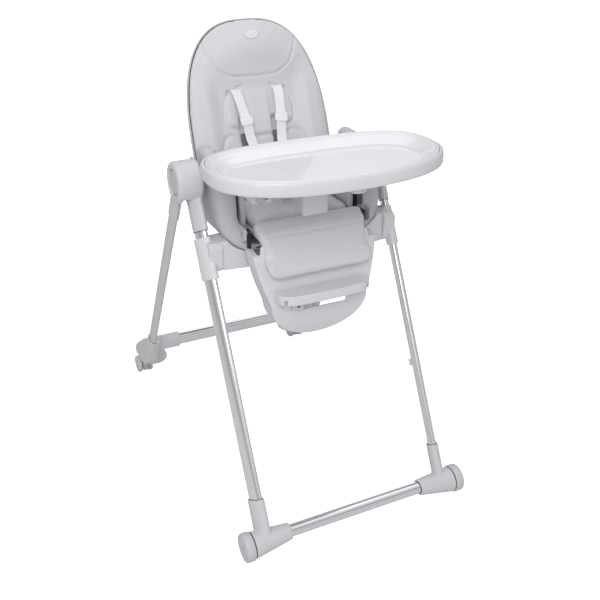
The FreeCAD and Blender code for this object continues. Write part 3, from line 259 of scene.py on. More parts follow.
MATERIALS = {
    "chrome": polished_metal("chrome", (0.86, 0.86, 0.88), 0.16, (1, 1, 0.02)),
    "painted_tube": plastic("painted_tube", (0.60, 0.60, 0.62), 0.42, 0.15),
    "frame_plastic": plastic("frame_plastic", (0.62, 0.62, 0.64), 0.42),
    "wheel_plastic": plastic("wheel_plastic", (0.58, 0.58, 0.60), 0.34),
    "castor_plastic": plastic("castor_plastic", (0.48, 0.48, 0.50), 0.42),
    "button_plastic": plastic("button_plastic", (0.55, 0.55, 0.57), 0.32),
    "slider_plastic": plastic("slider_plastic", (0.70, 0.70, 0.72), 0.40),
    "seat_plastic": plastic("seat_plastic", (0.53, 0.53, 0.56), 0.42),
    "panel_plastic": plastic("panel_plastic", (0.70, 0.70, 0.73), 0.40),
    "tray_plastic": plastic("tray_plastic", (0.69, 0.69, 0.72), 0.34),
    "liner_plastic": plastic("liner_plastic", (0.80, 0.81, 0.83), 0.08, 0.02, 0.8),
    "badge_plastic": plastic("badge_plastic", (0.80, 0.80, 0.82), 0.25),
    "leatherette": leatherette("leatherette", (0.66, 0.66, 0.685)),
    "webbing": webbing("webbing", (0.95, 0.95, 0.96)),
    "harness_plastic": plastic("harness_plastic", (0.88, 0.88, 0.89), 0.30),
    # dark grey for the blocks in the back pad's strap wells: painted shade
    "painted_pocket_shade": plastic("painted_pocket_shade", (0.16, 0.16, 0.165), 0.6),
    "steel": polished_metal("steel", (0.42, 0.42, 0.44), 0.32, (1, 1, 1)),
    # near-black: the buckle's own press button, and painted shade at the tube joints, hinge gaps, wing gaps and
    # the screw's cross
    "dark": plastic("dark", (0.02, 0.02, 0.022), 0.6),
}
SLOT_OF = {row["node"]: row["material_slot"] for row in frame["record"]["subparts"]}


def dress_nodes():
    for name, node in NODES.items():
        node.data.materials.clear()
        node.data.materials.append(MATERIALS[SLOT_OF[name]])


# ------ making meshes
def link_piece(name, mesh, material):
    piece = bpy.data.objects.new(name, mesh)
    bpy.context.collection.objects.link(piece)
    mesh.materials.clear()
    mesh.materials.append(MATERIALS[material])
    mesh.shade_smooth()
    return piece


def add_mesh(name, points, faces, material, sharp=40.0):
    mesh = bpy.data.meshes.new(name)
    mesh.from_pydata([tuple(p) for p in points], [], faces)
    work = bmesh.new()
    work.from_mesh(mesh)
    bmesh.ops.recalc_face_normals(work, faces=work.faces)
    work.to_mesh(mesh)
    work.free()
    piece = link_piece(name, mesh, material)
    mesh.set_sharp_from_angle(angle=math.radians(sharp))
    return piece


def bake(piece):
    """Replace the piece's mesh by what its modifiers make of it."""
    graph = bpy.context.evaluated_depsgraph_get()
    mesh = bpy.data.meshes.new_from_object(piece.evaluated_get(graph))
    piece.modifiers.clear()
    piece.data = mesh
    mesh.shade_smooth()


def settle(piece, body, slot, *nodes):
    """Put a finished piece on its body and let it stand for its CAD nodes."""
    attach(piece, body)
    if nodes:
        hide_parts(*nodes)
    return piece


def join(name, pieces):
    """One mesh object out of several."""
    work = bmesh.new()
    for piece in pieces:
        work.from_mesh(piece.data)
    mesh = bpy.data.meshes.new(name)
    work.to_mesh(mesh)
    work.free()
    material = pieces[0].data.materials[0]
    for piece in pieces:
        bpy.data.objects.remove(piece)
    joined = bpy.data.objects.new(name, mesh)
    bpy.context.collection.objects.link(joined)
    mesh.materials.append(material)
    return joined


def skin(rings, caps=(True, True), loop=False):
    """Quads between successive rings of equal length, with flat caps at the ends."""
    count = len(rings[0])
    points = [point for ring in rings for point in ring]
    faces = []
    for i in range(len(rings) if loop else len(rings) - 1):
        a = i * count
        b = (i + 1) % len(rings) * count
        for j in range(count):
            k = (j + 1) % count
            faces.append((a + j, a + k, b + k, b + j))
    if caps[0] and not loop:
        faces.append(tuple(reversed(range(count))))
    if caps[1] and not loop:
        faces.append(tuple(range(len(points) - count, len(points))))
    return points, faces


def leg_matrix(x, y, z, lean):
    return Matrix.Translation(at(x, y, z)) @ Matrix.Rotation(math.radians(-lean), 4, "X")


def oval_rod(name, place, long_half, short_half, s0, s1, turn=0.0, steps=48):
    """Closed oval bar along the placed Z axis, its long way along Y turned towards +X (mm)."""
    rings = []
    for s in (s0, s1):
        ring = []
        for i in range(steps):
            angle = 2 * math.pi * i / steps
            x = math.cos(angle) * short_half
            y = math.sin(angle) * long_half
            c, d = math.cos(math.radians(turn)), math.sin(math.radians(turn))
            ring.append(place @ Vector(((x * c + y * d) * MM, (y * c - x * d) * MM, s * MM)))
        rings.append(ring)
    return add_mesh(name, *skin(rings), "dark")


def rounded_box(name, low_corner, high_corner, radius, material, place=None, segments=3):
    """Box with rounded edges, corners in mm in the placed frame."""
    xs, ys, zs = zip(low_corner, high_corner)
    points = [Vector((x * MM, y * MM, z * MM)) for x in xs for y in ys for z in zs]
    place = place or Matrix.Translation(at(0, 0, 0))
    points = [place @ p for p in points]
    faces = [(0, 1, 3, 2), (4, 6, 7, 5), (0, 4, 5, 1), (2, 3, 7, 6), (0, 2, 6, 4), (1, 5, 7, 3)]
    piece = add_mesh(name, points, faces, material)
    bevel = piece.modifiers.new("bevel", "BEVEL")
    bevel.width = radius * MM
    bevel.segments = segments
    bake(piece)
    piece.data.set_sharp_from_angle(angle=math.radians(50))
    return piece


def side_box(name, s, low_corner, high_corner, radius, material, place=None, segments=3):
    """The same on the left (s = -1) or right (s = 1); the corners are those of the right-hand one."""
    low_x, high_x = sorted((s * low_corner[0], s * high_corner[0]))
    return rounded_box(name, (low_x, *low_corner[1:]), (high_x, *high_corner[1:]), radius, material, place,
                       segments)


def lathe(name, profile, x_side, y, z, material, steps=72):
    """Turned piece about the X axis through (y, z); profile is (radius, x) from end to end, in mm."""
    rings = []
    for radius, x in profile:
        ring = []
        for i in range(steps):
            angle = 2 * math.pi * i / steps
            ring.append(at(x_side * x, y + radius * math.cos(angle), z + radius * math.sin(angle)))
        rings.append(ring)
    return add_mesh(name, *skin(rings), material, 34.0)


def melt(name, sources, voxel, rounds, material):
    """Moulded copy: the sources grown together, with soft fillets where they meet."""
    work = bmesh.new()
    for source in sources:
        work.from_mesh(source.data)
    bmesh.ops.remove_doubles(work, verts=work.verts, dist=0.00001)
    mesh = bpy.data.meshes.new(name)
    work.to_mesh(mesh)
    work.free()
    piece = link_piece(name, mesh, material)
    remesh = piece.modifiers.new("remesh", "REMESH")
    remesh.mode = "VOXEL"
    remesh.voxel_size = voxel * MM * 1.0
    soften = piece.modifiers.new("soften", "SMOOTH")
    soften.factor = 0.5
    soften.iterations = max(1, rounds // (1))
    bake(piece)
    return piece


def melted_node(node, body, voxel, rounds, plugs=()):
    """Moulded copy of a CAD node, its sockets closed by the plugs."""
    piece = melt(node + "_moulding", [NODES[node], *plugs], voxel, rounds, SLOT_OF[node])
    for plug in plugs:
        bpy.data.objects.remove(plug)
    return settle(piece, body, SLOT_OF[node], node)


def tube_route(points, count):
    """Points along a smooth curve through the given ones."""
    out = []
    spans = len(points) - 1
    for i in range(count + 1):
        t = i / count * spans
        k = min(int(t), spans - 1)
        f = t - k
        p0 = points[max(k - 1, 0)]
        p1, p2 = points[k], points[k + 1]
        p3 = points[min(k + 2, spans)]
        out.append(0.5 * ((2 * p1) + (p2 - p0) * f + (2 * p0 - 5 * p1 + 4 * p2 - p3) * f * f
                          + (3 * p1 - p0 - 3 * p2 + p3) * f * f * f))
    return out


def ribbon(name, route, width, thick, material, lean=0.0, count=60):
    """Flat strap along a route, with rounded selvedges and a slightly dished section (metres)."""
    path = tube_route(route, count)
    section = []
    steps = 8
    for i in range(steps + 1):
        u = -1 + 2 * i / steps
        section.append((u * width / 2, thick / 2 * (1 if abs(u) < 1 else 0.3) - thick * 0.25 * u * u))
    for i in range(steps + 1):
        u = 1 - 2 * i / steps
        section.append((u * width / 2, -thick / 2 * (1 if abs(u) < 1 else 0.3) - thick * 0.25 * u * u))
    across = Vector((math.cos(lean), 0, math.sin(lean)))
    rings = []
    for i, point in enumerate(path):
        way = (path[min(i + 1, count)] - path[max(i - 1, 0)]).normalized()
        side = (across - way * across.dot(way)).normalized()
        normal = side.cross(way)
        rings.append([point + side * a + normal * b for a, b in section])
    return add_mesh(name, *skin(rings), material, 60.0)


# ------ frame
def make_frame():
    """Hubs, legs' end fittings, sliders, armrests, castors, pedals and wheels; the tubes stay CAD nodes."""
    for side, s in SIDES:
        turn = TUBE_TOE * s
        front = leg_matrix(s * FRONT_LEG_X, 0, FRONT_WHEEL_Z, FRONT_LEAN_DEG)
        rear = leg_matrix(s * REAR_LEG_X, HUB_Y_MM, HUB_Z_MM, -REAR_LEAN_DEG)
        plug = oval_rod("plug", front, *FRONT_TUBE, HUB_ALONG - 110, HUB_ALONG - 50, turn)
        drum = [(0.4, 257), (45, 257), (46, 258), (46, 261), (45, 264.6), (42, 267.6), (37.5, 268.9),
                (33, 269),
                (30.2, 268.6), (28.9, 267.4), (28.5, 265), (28.5, 261), (0.4, 261)]
        cover = lathe("cover", drum, s, HUB_Y_MM, HUB_Z_MM, "frame_plastic")
        hub = melt("hub_drum_" + side, [NODES["hub_" + side], plug, cover], 1.1, 9, "frame_plastic")
        for spent in (plug, cover):
            bpy.data.objects.remove(spent)
        settle(hub, "front_frame", "frame_plastic", "hub_" + side, "hub_covers")
        # near-black rings at the tube and wheel joints: painted shade
        make_seam_shade_rings(side, s, front, rear)
        plug = oval_rod("plug", rear, *REAR_TUBE, -111, -50)
        melted_node("rear_knuckle_" + side, "rear_frame", 0.9, 8, [plug])
        plug = oval_rod("plug", front, *FRONT_TUBE, 20, 95, turn)
        melted_node("front_foot_" + side, "front_frame", 1.2, 12, [plug])
        plug = oval_rod("plug", rear, *REAR_TUBE, -700, -665)
        melted_node("rear_foot_" + side, "rear_frame", 1.1, 9, [plug])
        plug = oval_rod("plug", front, *FRONT_TUBE, 583, 673, turn)
        melted_node("slider_" + side, "seat", 1.1, 8, [plug])
        make_armrest(side, s)
        melted_node("castor_fork_" + side, "castor_" + side, 0.8, 6)
        melted_node("brake_pedal_" + side, "brake_pedal_" + side, 0.6, 6)
        make_wheels(side, s)
    melted_node("seat_brackets", "seat", 1.3, 10)
    melted_node("leg_stops", "front_frame", 0.7, 5)


def make_armrest(side, s):
    """Domed post beside the backrest with the tray's rail in front of it."""
    post = side_box("part", s, (158, 372, 716), (193.8, 432, 803), 17, "seat_plastic", segments=8)
    rail = side_box("part", s, (158, 190, 772), (182, 392, 792), 5, "seat_plastic", segments=8)
    parts = [post, rail]
    piece = melt("armrest_%s_moulding" % side, parts, 1.5, 14, "seat_plastic")
    for part in parts:
        bpy.data.objects.remove(part)
    settle(piece, "seat", SLOT_OF["armrest_" + side], "armrest_" + side)


def make_seam_shade_rings(side, s, front, rear):
    """Painted shade: thin near-black rings where a tube enters its socket and where the front wheel meets its
    foot, standing in for the shadow in those joints.
    """
    turn = TUBE_TOE * s
    flat = Matrix.Translation(at(0, 760, 139)) @ Matrix.Rotation(math.radians(90), 4, "Y")
    ends = sorted((s * 165.4, s * 166.6))
    rings = [oval_rod("ring", front, 20.0, 10.7, 95.4, 96.7, turn),
             oval_rod("ring", front, 20.0, 10.7, HUB_ALONG - 112, HUB_ALONG - 110.6, turn),
             lathe("ring", [(13.8, 167.2), (15, 167.2), (15, 168.5), (13.8, 168.5)], s, 0, 38.5, "dark", 48),
             lathe("ring", [(20, 257.2), (29.6, 257.2), (29.6, 258.2), (20, 258.2)], s, 0, FRONT_WHEEL_Z,
                   "dark", 64)]
    seam_shade = join("front_seam_shade_" + side, rings)
    settle(seam_shade, "front_frame", "frame_plastic")
    rings = [oval_rod("ring", rear, 18.0, 10.0, -664.6, -663.3),
             oval_rod("ring", rear, 17.9, 9.9, -112.8, -111.4),
             oval_rod("ring", flat, 19.9, 10.9, ends[0], ends[1], 90)]
    seam_shade = join("rear_seam_shade_" + side, rings)
    settle(seam_shade, "rear_frame", "frame_plastic")


def make_wheels(side, s):
    tread = [(8, 258.4), (26, 258.4), (29.5, 258.9), (31.6, 260.4), (32.5, 262.8), (32.5, 275.6), (31.8, 278),
             (30, 279.6), (27.6, 280), (25.2, 279.7), (24.4, 278.6), (23.4, 278.6), (22.6, 279.5), (12, 280),
             (0.6, 280)]
    wheel = lathe("front_wheel_%s_cap" % side, tread, s, 0, FRONT_WHEEL_Z, "wheel_plastic")
    settle(wheel, "front_wheel_" + side, "wheel_plastic", "front_wheel_" + side)
    pieces = []
    for k in (-1, 1):
        mid = CASTOR_MIDDLE_X + k * CASTOR_HALF_TRACK
        ring = [(4, 5.2), (6.5, 5.4), (7.5, 3.8), (15.5, 3.8), (17, 5.2), (19.5, 6), (22.6, 5.7), (24.4, 4.4),
                (25, 2.2),
                (25, 0.7), (24.6, 0.2)]
        profile = [(r, mid + k * x) for r, x in ring] + [(r, mid - k * x) for r, x in reversed(ring)]
        pieces.append(lathe("castor_ring", profile, s, CASTOR_Y, CASTOR_Z, "wheel_plastic", 56))
    pin = [(0.4, 233.5), (3, 233.5), (3.5, 234.4), (3.5, 267.6), (3, 268.5), (0.4, 268.5)]
    pieces.append(lathe("castor_pin", pin, s, CASTOR_Y, CASTOR_Z, "wheel_plastic", 24))
    wheels = join("castor_wheels_%s_twin" % side, pieces)
    wheels.data.set_sharp_from_angle(angle=math.radians(34))
    settle(wheels, "castor_wheels_" + side, "wheel_plastic", "castor_wheels_" + side)


# ------ tray
def tray_ring(inset, z, steps=160):
    """Outline of the tray, `inset` inside its edge: fuller at the front than at the back."""
    ring = []
    for i in range(steps):
        angle = 2 * math.pi * i / steps
        c, s = math.cos(angle), math.sin(angle)
        front = s > 0
        power = TRAY_FRONT_POWER if front else TRAY_BACK_POWER
        depth = (TRAY_FRONT if front else TRAY_BACK) - inset
        x = math.copysign(abs(c) ** (2 / power), c) * (TRAY_HALF_WIDTH - inset)
        y = TRAY_MIDDLE_Y - math.copysign(abs(s) ** (2 / power), s) * depth
        ring.append(at(x, y, z))
    return ring


def make_tray():
    """Dish with rail channels and ribs under it, the glossy insert, the divider and the release handle."""
    profile = [(125, 798), (90, 798), (50, 798), (14, 798), (12, 796.4), (4, 796.4), (1.4, 797.4), (0.2, 800),
               (0, 804),
               (0.3, 814), (0.9, 820), (2.2, 823.6), (4.2, 825.6), (6.4, 826), (8, 825.2), (8.8, 823.4),
               (9, 819),
               (9, 803.6), (11, 802), (50, 802), (90, 802), (125, 802)]
    dish = add_mesh("tray_dish", *skin([tray_ring(*row) for row in profile]), "tray_plastic", 35)
    pieces = [dish]
    for s in (-1, 1):
        for x in (151.6, 184.4):
            pieces.append(side_box("wall", s, (x - 2, 112, 766.5), (x + 3.6, 282, 799), 1.2, "tray_plastic"))
        for x in (154.5, 178.5):
            pieces.append(side_box("ledge", s, (x - 1, 112, 766.5), (x + 7, 282, 771), 1.0, "tray_plastic"))
    for y in (60, 120, 200, 250):
        pieces.append(rounded_box("rib", (-120, y, 788.5), (120, y + 3, 799), 1.0, "tray_plastic"))
    body = join("tray_moulding", pieces)
    body.data.set_sharp_from_angle(angle=math.radians(35))
    settle(body, "tray", "tray_plastic", "tray_base")
    inner = [(120, 804.9), (85, 804.9), (52, 804.9), (44, 805.3), (39, 806.8), (35, 810), (31, 813.4),
             (26, 815.6),
             (20, 817.6), (16, 820.6), (13.8, 824.2), (12.6, 825.7), (11.4, 826), (10.2, 825.3), (9.6, 823.4),
             (9.5, 815)]
    under = [(11.5, 815), (12, 818), (16, 815), (24, 812), (31, 808.5), (37, 803.6), (44, 802.6), (52, 802.4),
             (85, 802.4),
             (120, 802.4)]
    liner = add_mesh("tray_insert", *skin([tray_ring(*row) for row in inner + under]), "liner_plastic", 50)
    settle(liner, "tray_liner", "liner_plastic", "tray_liner")
    melted_node("tray_divider", "tray", 1.0, 8)
    melted_node("tray_handle", "tray_handle", 0.8, 6)


# ------ backrest
def back_half(up):
    """Half width of the back at a height below its shoulder."""
    return BACK_HALF + BACK_FLARE * max(0.0, (BACK_SHOULDER - up) / BACK_SHOULDER) ** 1.4


def back_ring(inset, deep, steps=44, corner=BACK_CORNER):
    """Outline of the back: a full rounded top, sides that spread downwards and rounded lower corners."""
    half = BACK_HALF - inset
    rise = BACK_TOP - inset - BACK_SHOULDER
    turn = max(corner - inset, 2.0)
    knee = inset + turn
    crown, left, bottom = [], [], []
    for i in range(steps * 2 + 1):
        angle = math.pi * i / (steps * 2)
        c, s = math.cos(angle), math.sin(angle)
        crown.append((math.copysign(abs(c) ** (2 / BACK_POWER), c) * half,
                      BACK_SHOULDER + s ** (2 / BACK_POWER) * rise))
    for i in range(1, 9):
        up = BACK_SHOULDER + (knee - BACK_SHOULDER) * i / 8
        left.append((inset - back_half(up), up))
    edge = back_half(knee) - inset
    for i in range(1, 7):
        angle = math.pi / 2 * i / 6
        left.append((turn - turn * math.cos(angle) - edge, knee - turn * math.sin(angle)))
    for i in range(1, 16):
        bottom.append((turn - edge + (2 * edge - 2 * turn) * i / 16, inset))
    right = [(-x, up) for x, up in reversed(left)]
    return [on_back(x, deep, up) for x, up in crown + left + bottom + right]


def groove(x, up, line, width):
    """Depth share (0 to 1) of a sewn crease along a polyline, at a point."""
    best = 1e9
    for (ax, ay), (bx, by) in zip(line[:-1], line[1:]):
        dx, dy = bx - ax, by - ay
        t = max(0.0, min(1.0, ((x - ax) * dx + (up - ay) * dy) / (dx * dx + dy * dy)))
        best = min(best, (x - ax - t * dx) ** 2 + (up - ay - t * dy) ** 2)
    return math.exp(-best / (width * width))


def smooth_step(value, low_value, high_value):
    t = max(0.0, min(1.0, (value - low_value) / (high_value - low_value)))
    return t * t * (3 - 2 * t)


HEAD_SEAM = [(-117, 367), (-105, 334), (-91, 309), (-69, 292), (-47, 286), (0, 284.5), (47, 286), (69, 292),
             (91, 309), (105, 334), (117, 367)]
LOBE_CREASE = [(70, 252), (82, 232), (88, 208), (87, 184), (78, 170), (58, 168)]
LOWER_CREASE = [(57, 142), (76, 156), (94, 148), (104, 126), (106, 92), (98, 58)]
MIDDLE_CREASE = [(-28, 147), (28, 147)]
SLOT_TOP = [(38, 264), (72, 252)]
WELL_X = (27.0, 55.0)
WELL_UP = (118.0, 192.0)


def back_relief(x, up):
    """How far the sewn shape lies behind the plain pad face, in mm."""
    side = abs(x)
    low_part = 1 - smooth_step(up, 250, 330)
    bolster = smooth_step(side, 92, 130) * low_part
    edge = back_half(up)
    relief = 9.0 * low_part * (1 - bolster) - 6.0 * bolster * (1 - smooth_step(side, edge - 28, edge - 2))
    relief += 3.6 * groove(x, up, HEAD_SEAM, 3.0) - 1.5 * groove(x, up, HEAD_SEAM, 16)
    relief -= HEAD_PUFF * math.exp(-(x / 88) ** 2 - ((up - 355) / 46) ** 2)
    relief += 3.5 * groove(side, up, LOBE_CREASE, 4.5) + 3.0 * groove(side, up, LOWER_CREASE, 5.0)
    relief += 3.0 * groove(x, up, MIDDLE_CREASE, 4.0) + 5.0 * groove(side, up, SLOT_TOP, 3.6)
    lobe = smooth_step(side, 52, 62) * (1 - smooth_step(side, 74, 90)) * smooth_step(up, 165, 185)
    relief -= 4.5 * lobe * (1 - smooth_step(up, 225, 258))
    panel = (1 - smooth_step(side, 20, 30)) * smooth_step(up, 146, 160) * (1 - smooth_step(up, 235, 262))
    relief -= 3.0 * panel
    well = smooth_step(side, WELL_X[0] - 3, WELL_X[0] + 3) * (1 - smooth_step(side, WELL_X[1] - 3,
                                                                              WELL_X[1] + 3))
    well *= smooth_step(up, WELL_UP[0] - 5, WELL_UP[0] + 5) * (1 - smooth_step(up, WELL_UP[1] - 8,
                                                                               WELL_UP[1] + 4))
    return relief + 14.0 * well


def back_coords(point):
    """(x, deep, up) in mm of a point in the frame."""
    offset = (point - BACK_FOOT) / MM
    c, s = math.cos(BACK_LEAN), math.sin(BACK_LEAN)
    return offset.x, offset.y * c - offset.z * s, offset.y * s + offset.z * c


def make_back_shell():
    """Thin tub behind the back cushion, with the handle's guides, ribs and the recline bosses."""
    profile = [(90, 42), (32, 42), (24, 40.4), (16, 36), (9, 28), (5.2, 20), (4, 14), (3.4, 11.6), (2, 10.6),
               (0.6, 11.4), (0, 14), (1, 20), (4, 28), (7.6, 34), (11, 38), (14.6, 41), (18.6, 43.5),
               (22.4, 45),
               (26, 45.8), (29, 46), (33, 44.6), (37, 44.6), (41, 46), (60, 46), (90, 46)]
    shell = add_mesh("back_tub", *skin([back_ring(*row) for row in profile]), "seat_plastic", 50)
    pieces = [shell]
    for low_corner, high_corner in (((-48, 42, 300), (-44, 54, 370)), ((44, 42, 300), (48, 54, 370)),
                                    ((-48, 42, 366), (48, 54, 370)), ((-48, 42, 300), (48, 54, 304))):
        pieces.append(rounded_box("guide", low_corner, high_corner, 1.4, "seat_plastic", BACK_PLACE))
    for x in (-100, -50, 0, 50, 100):
        pieces.append(rounded_box("rib", (x - 2, 43, 40), (x + 2, 50, 235), 1.4, "seat_plastic", BACK_PLACE))
    body = join("back_shell_moulding", pieces)
    body.data.set_sharp_from_angle(angle=math.radians(45))
    y, z = RECLINE.y - FRONT_AXLE.y, RECLINE.z
    lugs = []
    for s in (-1, 1):
        boss = [(0.5, 160), (13, 160), (13, 192), (12, 193.5), (0.5, 193.5)]
        lugs.append(lathe("boss", boss, s, y / MM, z / MM, "seat_plastic", 40))
    body = join("back_shell_moulding", [body, *lugs])
    body.data.set_sharp_from_angle(angle=math.radians(45))
    settle(body, "backrest", "seat_plastic", "backrest_shell")


# ------ padded pieces
def pad_blank(name, points, faces, voxel, material="leatherette"):
    """Closed form, a little smaller than the pad, remeshed evenly for the cloth simulation."""
    piece = add_mesh(name, points, faces, material)
    remesh = piece.modifiers.new("remesh", "REMESH")
    remesh.mode = "VOXEL"
    remesh.voxel_size = voxel * MM
    soften = piece.modifiers.new("soften", "SMOOTH")
    soften.iterations = 4
    bake(piece)
    return piece


def puff(pieces, cap, pressure=4.0):
    """Swell the pads by cloth simulation, all at once; no point moves more than its cap."""
    scene = bpy.context.scene
    for piece in pieces:
        cloth = piece.modifiers.new("cloth", "CLOTH")
        cloth.settings.quality = 4
        cloth.settings.mass = 0.25
        cloth.settings.tension_stiffness = 14
        cloth.settings.compression_stiffness = 14
        cloth.settings.bending_stiffness = 0.8
        cloth.settings.use_pressure = True
        cloth.settings.uniform_pressure_force = pressure
        cloth.settings.effector_weights.gravity = 0.0
        if "hold" in piece.vertex_groups:
            cloth.settings.vertex_group_mass = "hold"
    for step in range(1, 21):
        scene.frame_set(step)
    graph = bpy.context.evaluated_depsgraph_get()
    for piece in pieces:
        swollen = [v.co.copy() for v in piece.evaluated_get(graph).data.vertices]
        piece.modifiers.clear()
        limit = cap[piece.name]
        for vertex, target in zip(piece.data.vertices, swollen):
            move = target - vertex.co
            if move.length > limit:
                move *= limit / move.length
            vertex.co += move
    scene.frame_set(1)


def refine(piece, rounds=6):
    """One subdivision and a light smoothing after the simulation."""
    subdivide = piece.modifiers.new("subdivide", "SUBSURF")
    subdivide.levels = 1
    subdivide.render_levels = 1
    soften = piece.modifiers.new("soften", "SMOOTH")
    soften.iterations = rounds
    bake(piece)


def make_pads():
    """Cushions: blanks, one simulation for all of them, then the sewn relief of each."""
    back = [(32, 40), (20, 37), (12, 30), (8, 23), (6, 16), (4.0, 11.2), (4.4, 8.4), (8, 5.4), (13, 3.8),
            (20, 3)]
    blank = pad_blank("back_cushion", *skin([back_ring(*row) for row in back]), PAD_VOXEL)
    seat = box_rings((-122, 282, 641), (122, 416, 662), 9)
    seat_piece = pad_blank("seat_cushion", *skin(seat), PAD_VOXEL)
    sides = []
    for side, s in SIDES:
        rings = side_pad_rings(s)
        sides.append(pad_blank("side_cushion_" + side, *skin(rings), PAD_VOXEL))
    calf = pad_blank("calf_cushion", *skin(calf_rings()), PAD_VOXEL)
    caps = {"back_cushion": 4 * MM, "seat_cushion": 7 * MM, "side_cushion_left": 4 * MM,
            "side_cushion_right": 4 * MM, "calf_cushion": 4 * MM}
    held = [v.index for v in blank.data.vertices if back_coords(v.co)[1] > 8.0]
    blank.vertex_groups.new(name="hold").add(held, 1.0, "REPLACE")
    puff([blank, seat_piece, *sides, calf], caps)
    blank.vertex_groups.clear()
    for piece in (blank, seat_piece, *sides, calf):
        refine(piece)
    for vertex in blank.data.vertices:
        x, deep, up = back_coords(vertex.co)
        weight = 1 - smooth_step(deep, 8, 26)
        if weight > 0:
            vertex.co = on_back(x, deep + weight * back_relief(x, up), up)
    for vertex in calf.data.vertices:
        seam = math.exp(-((vertex.co.z - CALF_SEAM_Z) / (2.2 * MM)) ** 2)
        if vertex.co.y < at(0, 262, 0).y:
            vertex.co.y += 1.6 * MM * seam
    for vertex in seat_piece.data.vertices:
        x, y = vertex.co.x / MM, (vertex.co.y - FRONT_AXLE.y) / MM
        if vertex.co.z > 0.652:
            dip = 2.5 * groove(x, y, [(-90, 420), (-96, 330), (-80, 300)], 4.5)
            dip += 2.5 * groove(x, y, [(90, 420), (96, 330), (80, 300)], 4.5)
            vertex.co.z -= MM * (dip + 3.0 * math.exp(-(x / 70) ** 2 - ((y - 360) / 60) ** 2))
    settle(blank, "backrest", "leatherette", "backrest_pad")
    settle(seat_piece, "seat", "leatherette", "seat_pad")
    for piece in sides:
        settle(piece, "seat", "leatherette", "side_pads")
    settle(calf, "legrest", "leatherette", "calf_pad")


def box_rings(low_corner, high_corner, radius):
    """Rings, bottom to top, of a box with rounded edges (mm)."""
    bottom, top = low_corner[2], high_corner[2]
    rings = []
    for share, z in ((0.35, bottom), (0.0, bottom + radius * 0.4), (0.0, top - radius),
                     (0.35, top - radius * 0.3), (1.0, top)):
        inset = share * radius
        rings.append(rect_ring(low_corner[0] + inset, high_corner[0] - inset, low_corner[1] + inset,
                               high_corner[1] - inset, radius + 8, z))
    return rings


def rect_ring(x0, x1, y0, y1, radius, z, steps=6):
    ring = []
    for cx, cy, start in ((x1 - radius, y1 - radius, 0), (x0 + radius, y1 - radius, 90),
                          (x0 + radius, y0 + radius, 180), (x1 - radius, y0 + radius, 270)):
        for i in range(steps + 1):
            angle = math.radians(start + 90 * i / steps)
            ring.append(at(cx + radius * math.cos(angle), cy + radius * math.sin(angle), z))
    return ring


def side_pad_rings(s):
    """Upholstered cheek beside the seat, tallest at the rear."""
    outline = [(302, 644), (412, 644), (414, 700), (412, 734), (404, 741), (372, 741), (332, 738), (312, 722),
               (302, 690)]
    centre = (360, 690)
    rings = []
    for x, share in ((125.5, 0.9), (128, 1.0), (139, 1.0), (142.5, 0.9)):
        rings.append([at(s * x, centre[0] + (y - centre[0]) * share, centre[1] + (z - centre[1]) * share)
                      for y, z in outline])
    return rings


def calf_rings():
    """Roll at the seat's front edge with a flap hanging from it; its lower corners are rounded."""
    profile = []
    for i in range(13):
        angle = math.radians(-60 + 200 * i / 12)
        profile.append((258 + 17.5 * math.cos(angle), 648 + 17.5 * math.sin(angle)))
    profile += [(231, 655), (222, 643), (212, 624), (200, 602), (188, 586), (178, 574), (177, 567),
                (182, 565), (192, 567),
                (202, 586), (212, 606), (226, 630), (242, 632)]
    rings = []
    for i in range(41):
        x = -129.5 + 259 * i / 40
        over = max(0.0, abs(x) - 98) / 31.5
        bottom = 557 + 28 * (1 - math.sqrt(max(0.0, 1 - min(over, 1) ** 2)))
        end = smooth_step(abs(x), 123, 130)
        ring = []
        for y, z in profile:
            z2 = z if z > 606 else bottom + (z - 565) * (606 - bottom) / 41
            ring.append(at(x, y + (236 - y) * 0.22 * end, z2 + (636 - z2) * 0.05 * end))
        rings.append(ring)
    return rings


# ------ harness
def make_harness():
    """Webbing from the pad's slots to the buckle, with slide adjusters, lap straps and a crotch strap."""
    for side, s in SIDES:
        start = on_back(s * 54, 16, 260)
        lip = on_back(s * 53, 6, 255)
        route = [start, lip, on_back(s * 51, -3, 238), on_back(s * 44, -11, 183), on_back(s * 37, -13, 127),
                 at(s * 27, 418, 757), at(s * 16, 360, 742)]
        strap = ribbon("shoulder_strap_" + side, route, *STRAP, "webbing", lean=0.10 * s)
        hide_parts("shoulder_straps")
        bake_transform(strap)
        adjuster = make_adjuster(side, s)
        settle(adjuster, "backrest", "harness_plastic", "strap_adjusters")
        lap = [at(s * 24, 352, 722), at(s * 60, 358, 716), at(s * 100, 372, 708), at(s * 129, 382, 700)]
        lap_strap = ribbon_flat("lap_strap_" + side, lap, *STRAP)
        settle(lap_strap, "seat", "webbing", "lap_straps")
    crotch = ribbon("crotch_strap", [at(0, 366, 664), at(0, 360, 684), at(0, 352, 706)], *STRAP, "webbing",
                    count=24)
    settle(crotch, "seat", "webbing", "lap_straps")
    make_buckle()


def ribbon_flat(name, route, width, thick):
    """Strap that runs sideways, its width upright."""
    path = tube_route(route, 40)
    rings = []
    for i, point in enumerate(path):
        way = (path[min(i + 1, 40)] - path[max(i - 1, 0)]).normalized()
        up = Vector((0, 0, 1))
        side = (up - way * up.dot(way)).normalized()
        normal = side.cross(way)
        half_w, half_t = width / 2, thick / 2
        ring = [(-half_w, -half_t * 0.3), (-half_w * 0.9, -half_t), (0, -half_t * 1.3),
                (half_w * 0.9, -half_t),
                (half_w, -half_t * 0.3), (half_w, half_t * 0.3), (half_w * 0.9, half_t), (0, half_t * 0.7),
                (-half_w * 0.9, half_t), (-half_w, half_t * 0.3)]
        rings.append([point + side * a + normal * b for a, b in ring])
    return add_mesh(name, *skin(rings), "webbing", 60.0)


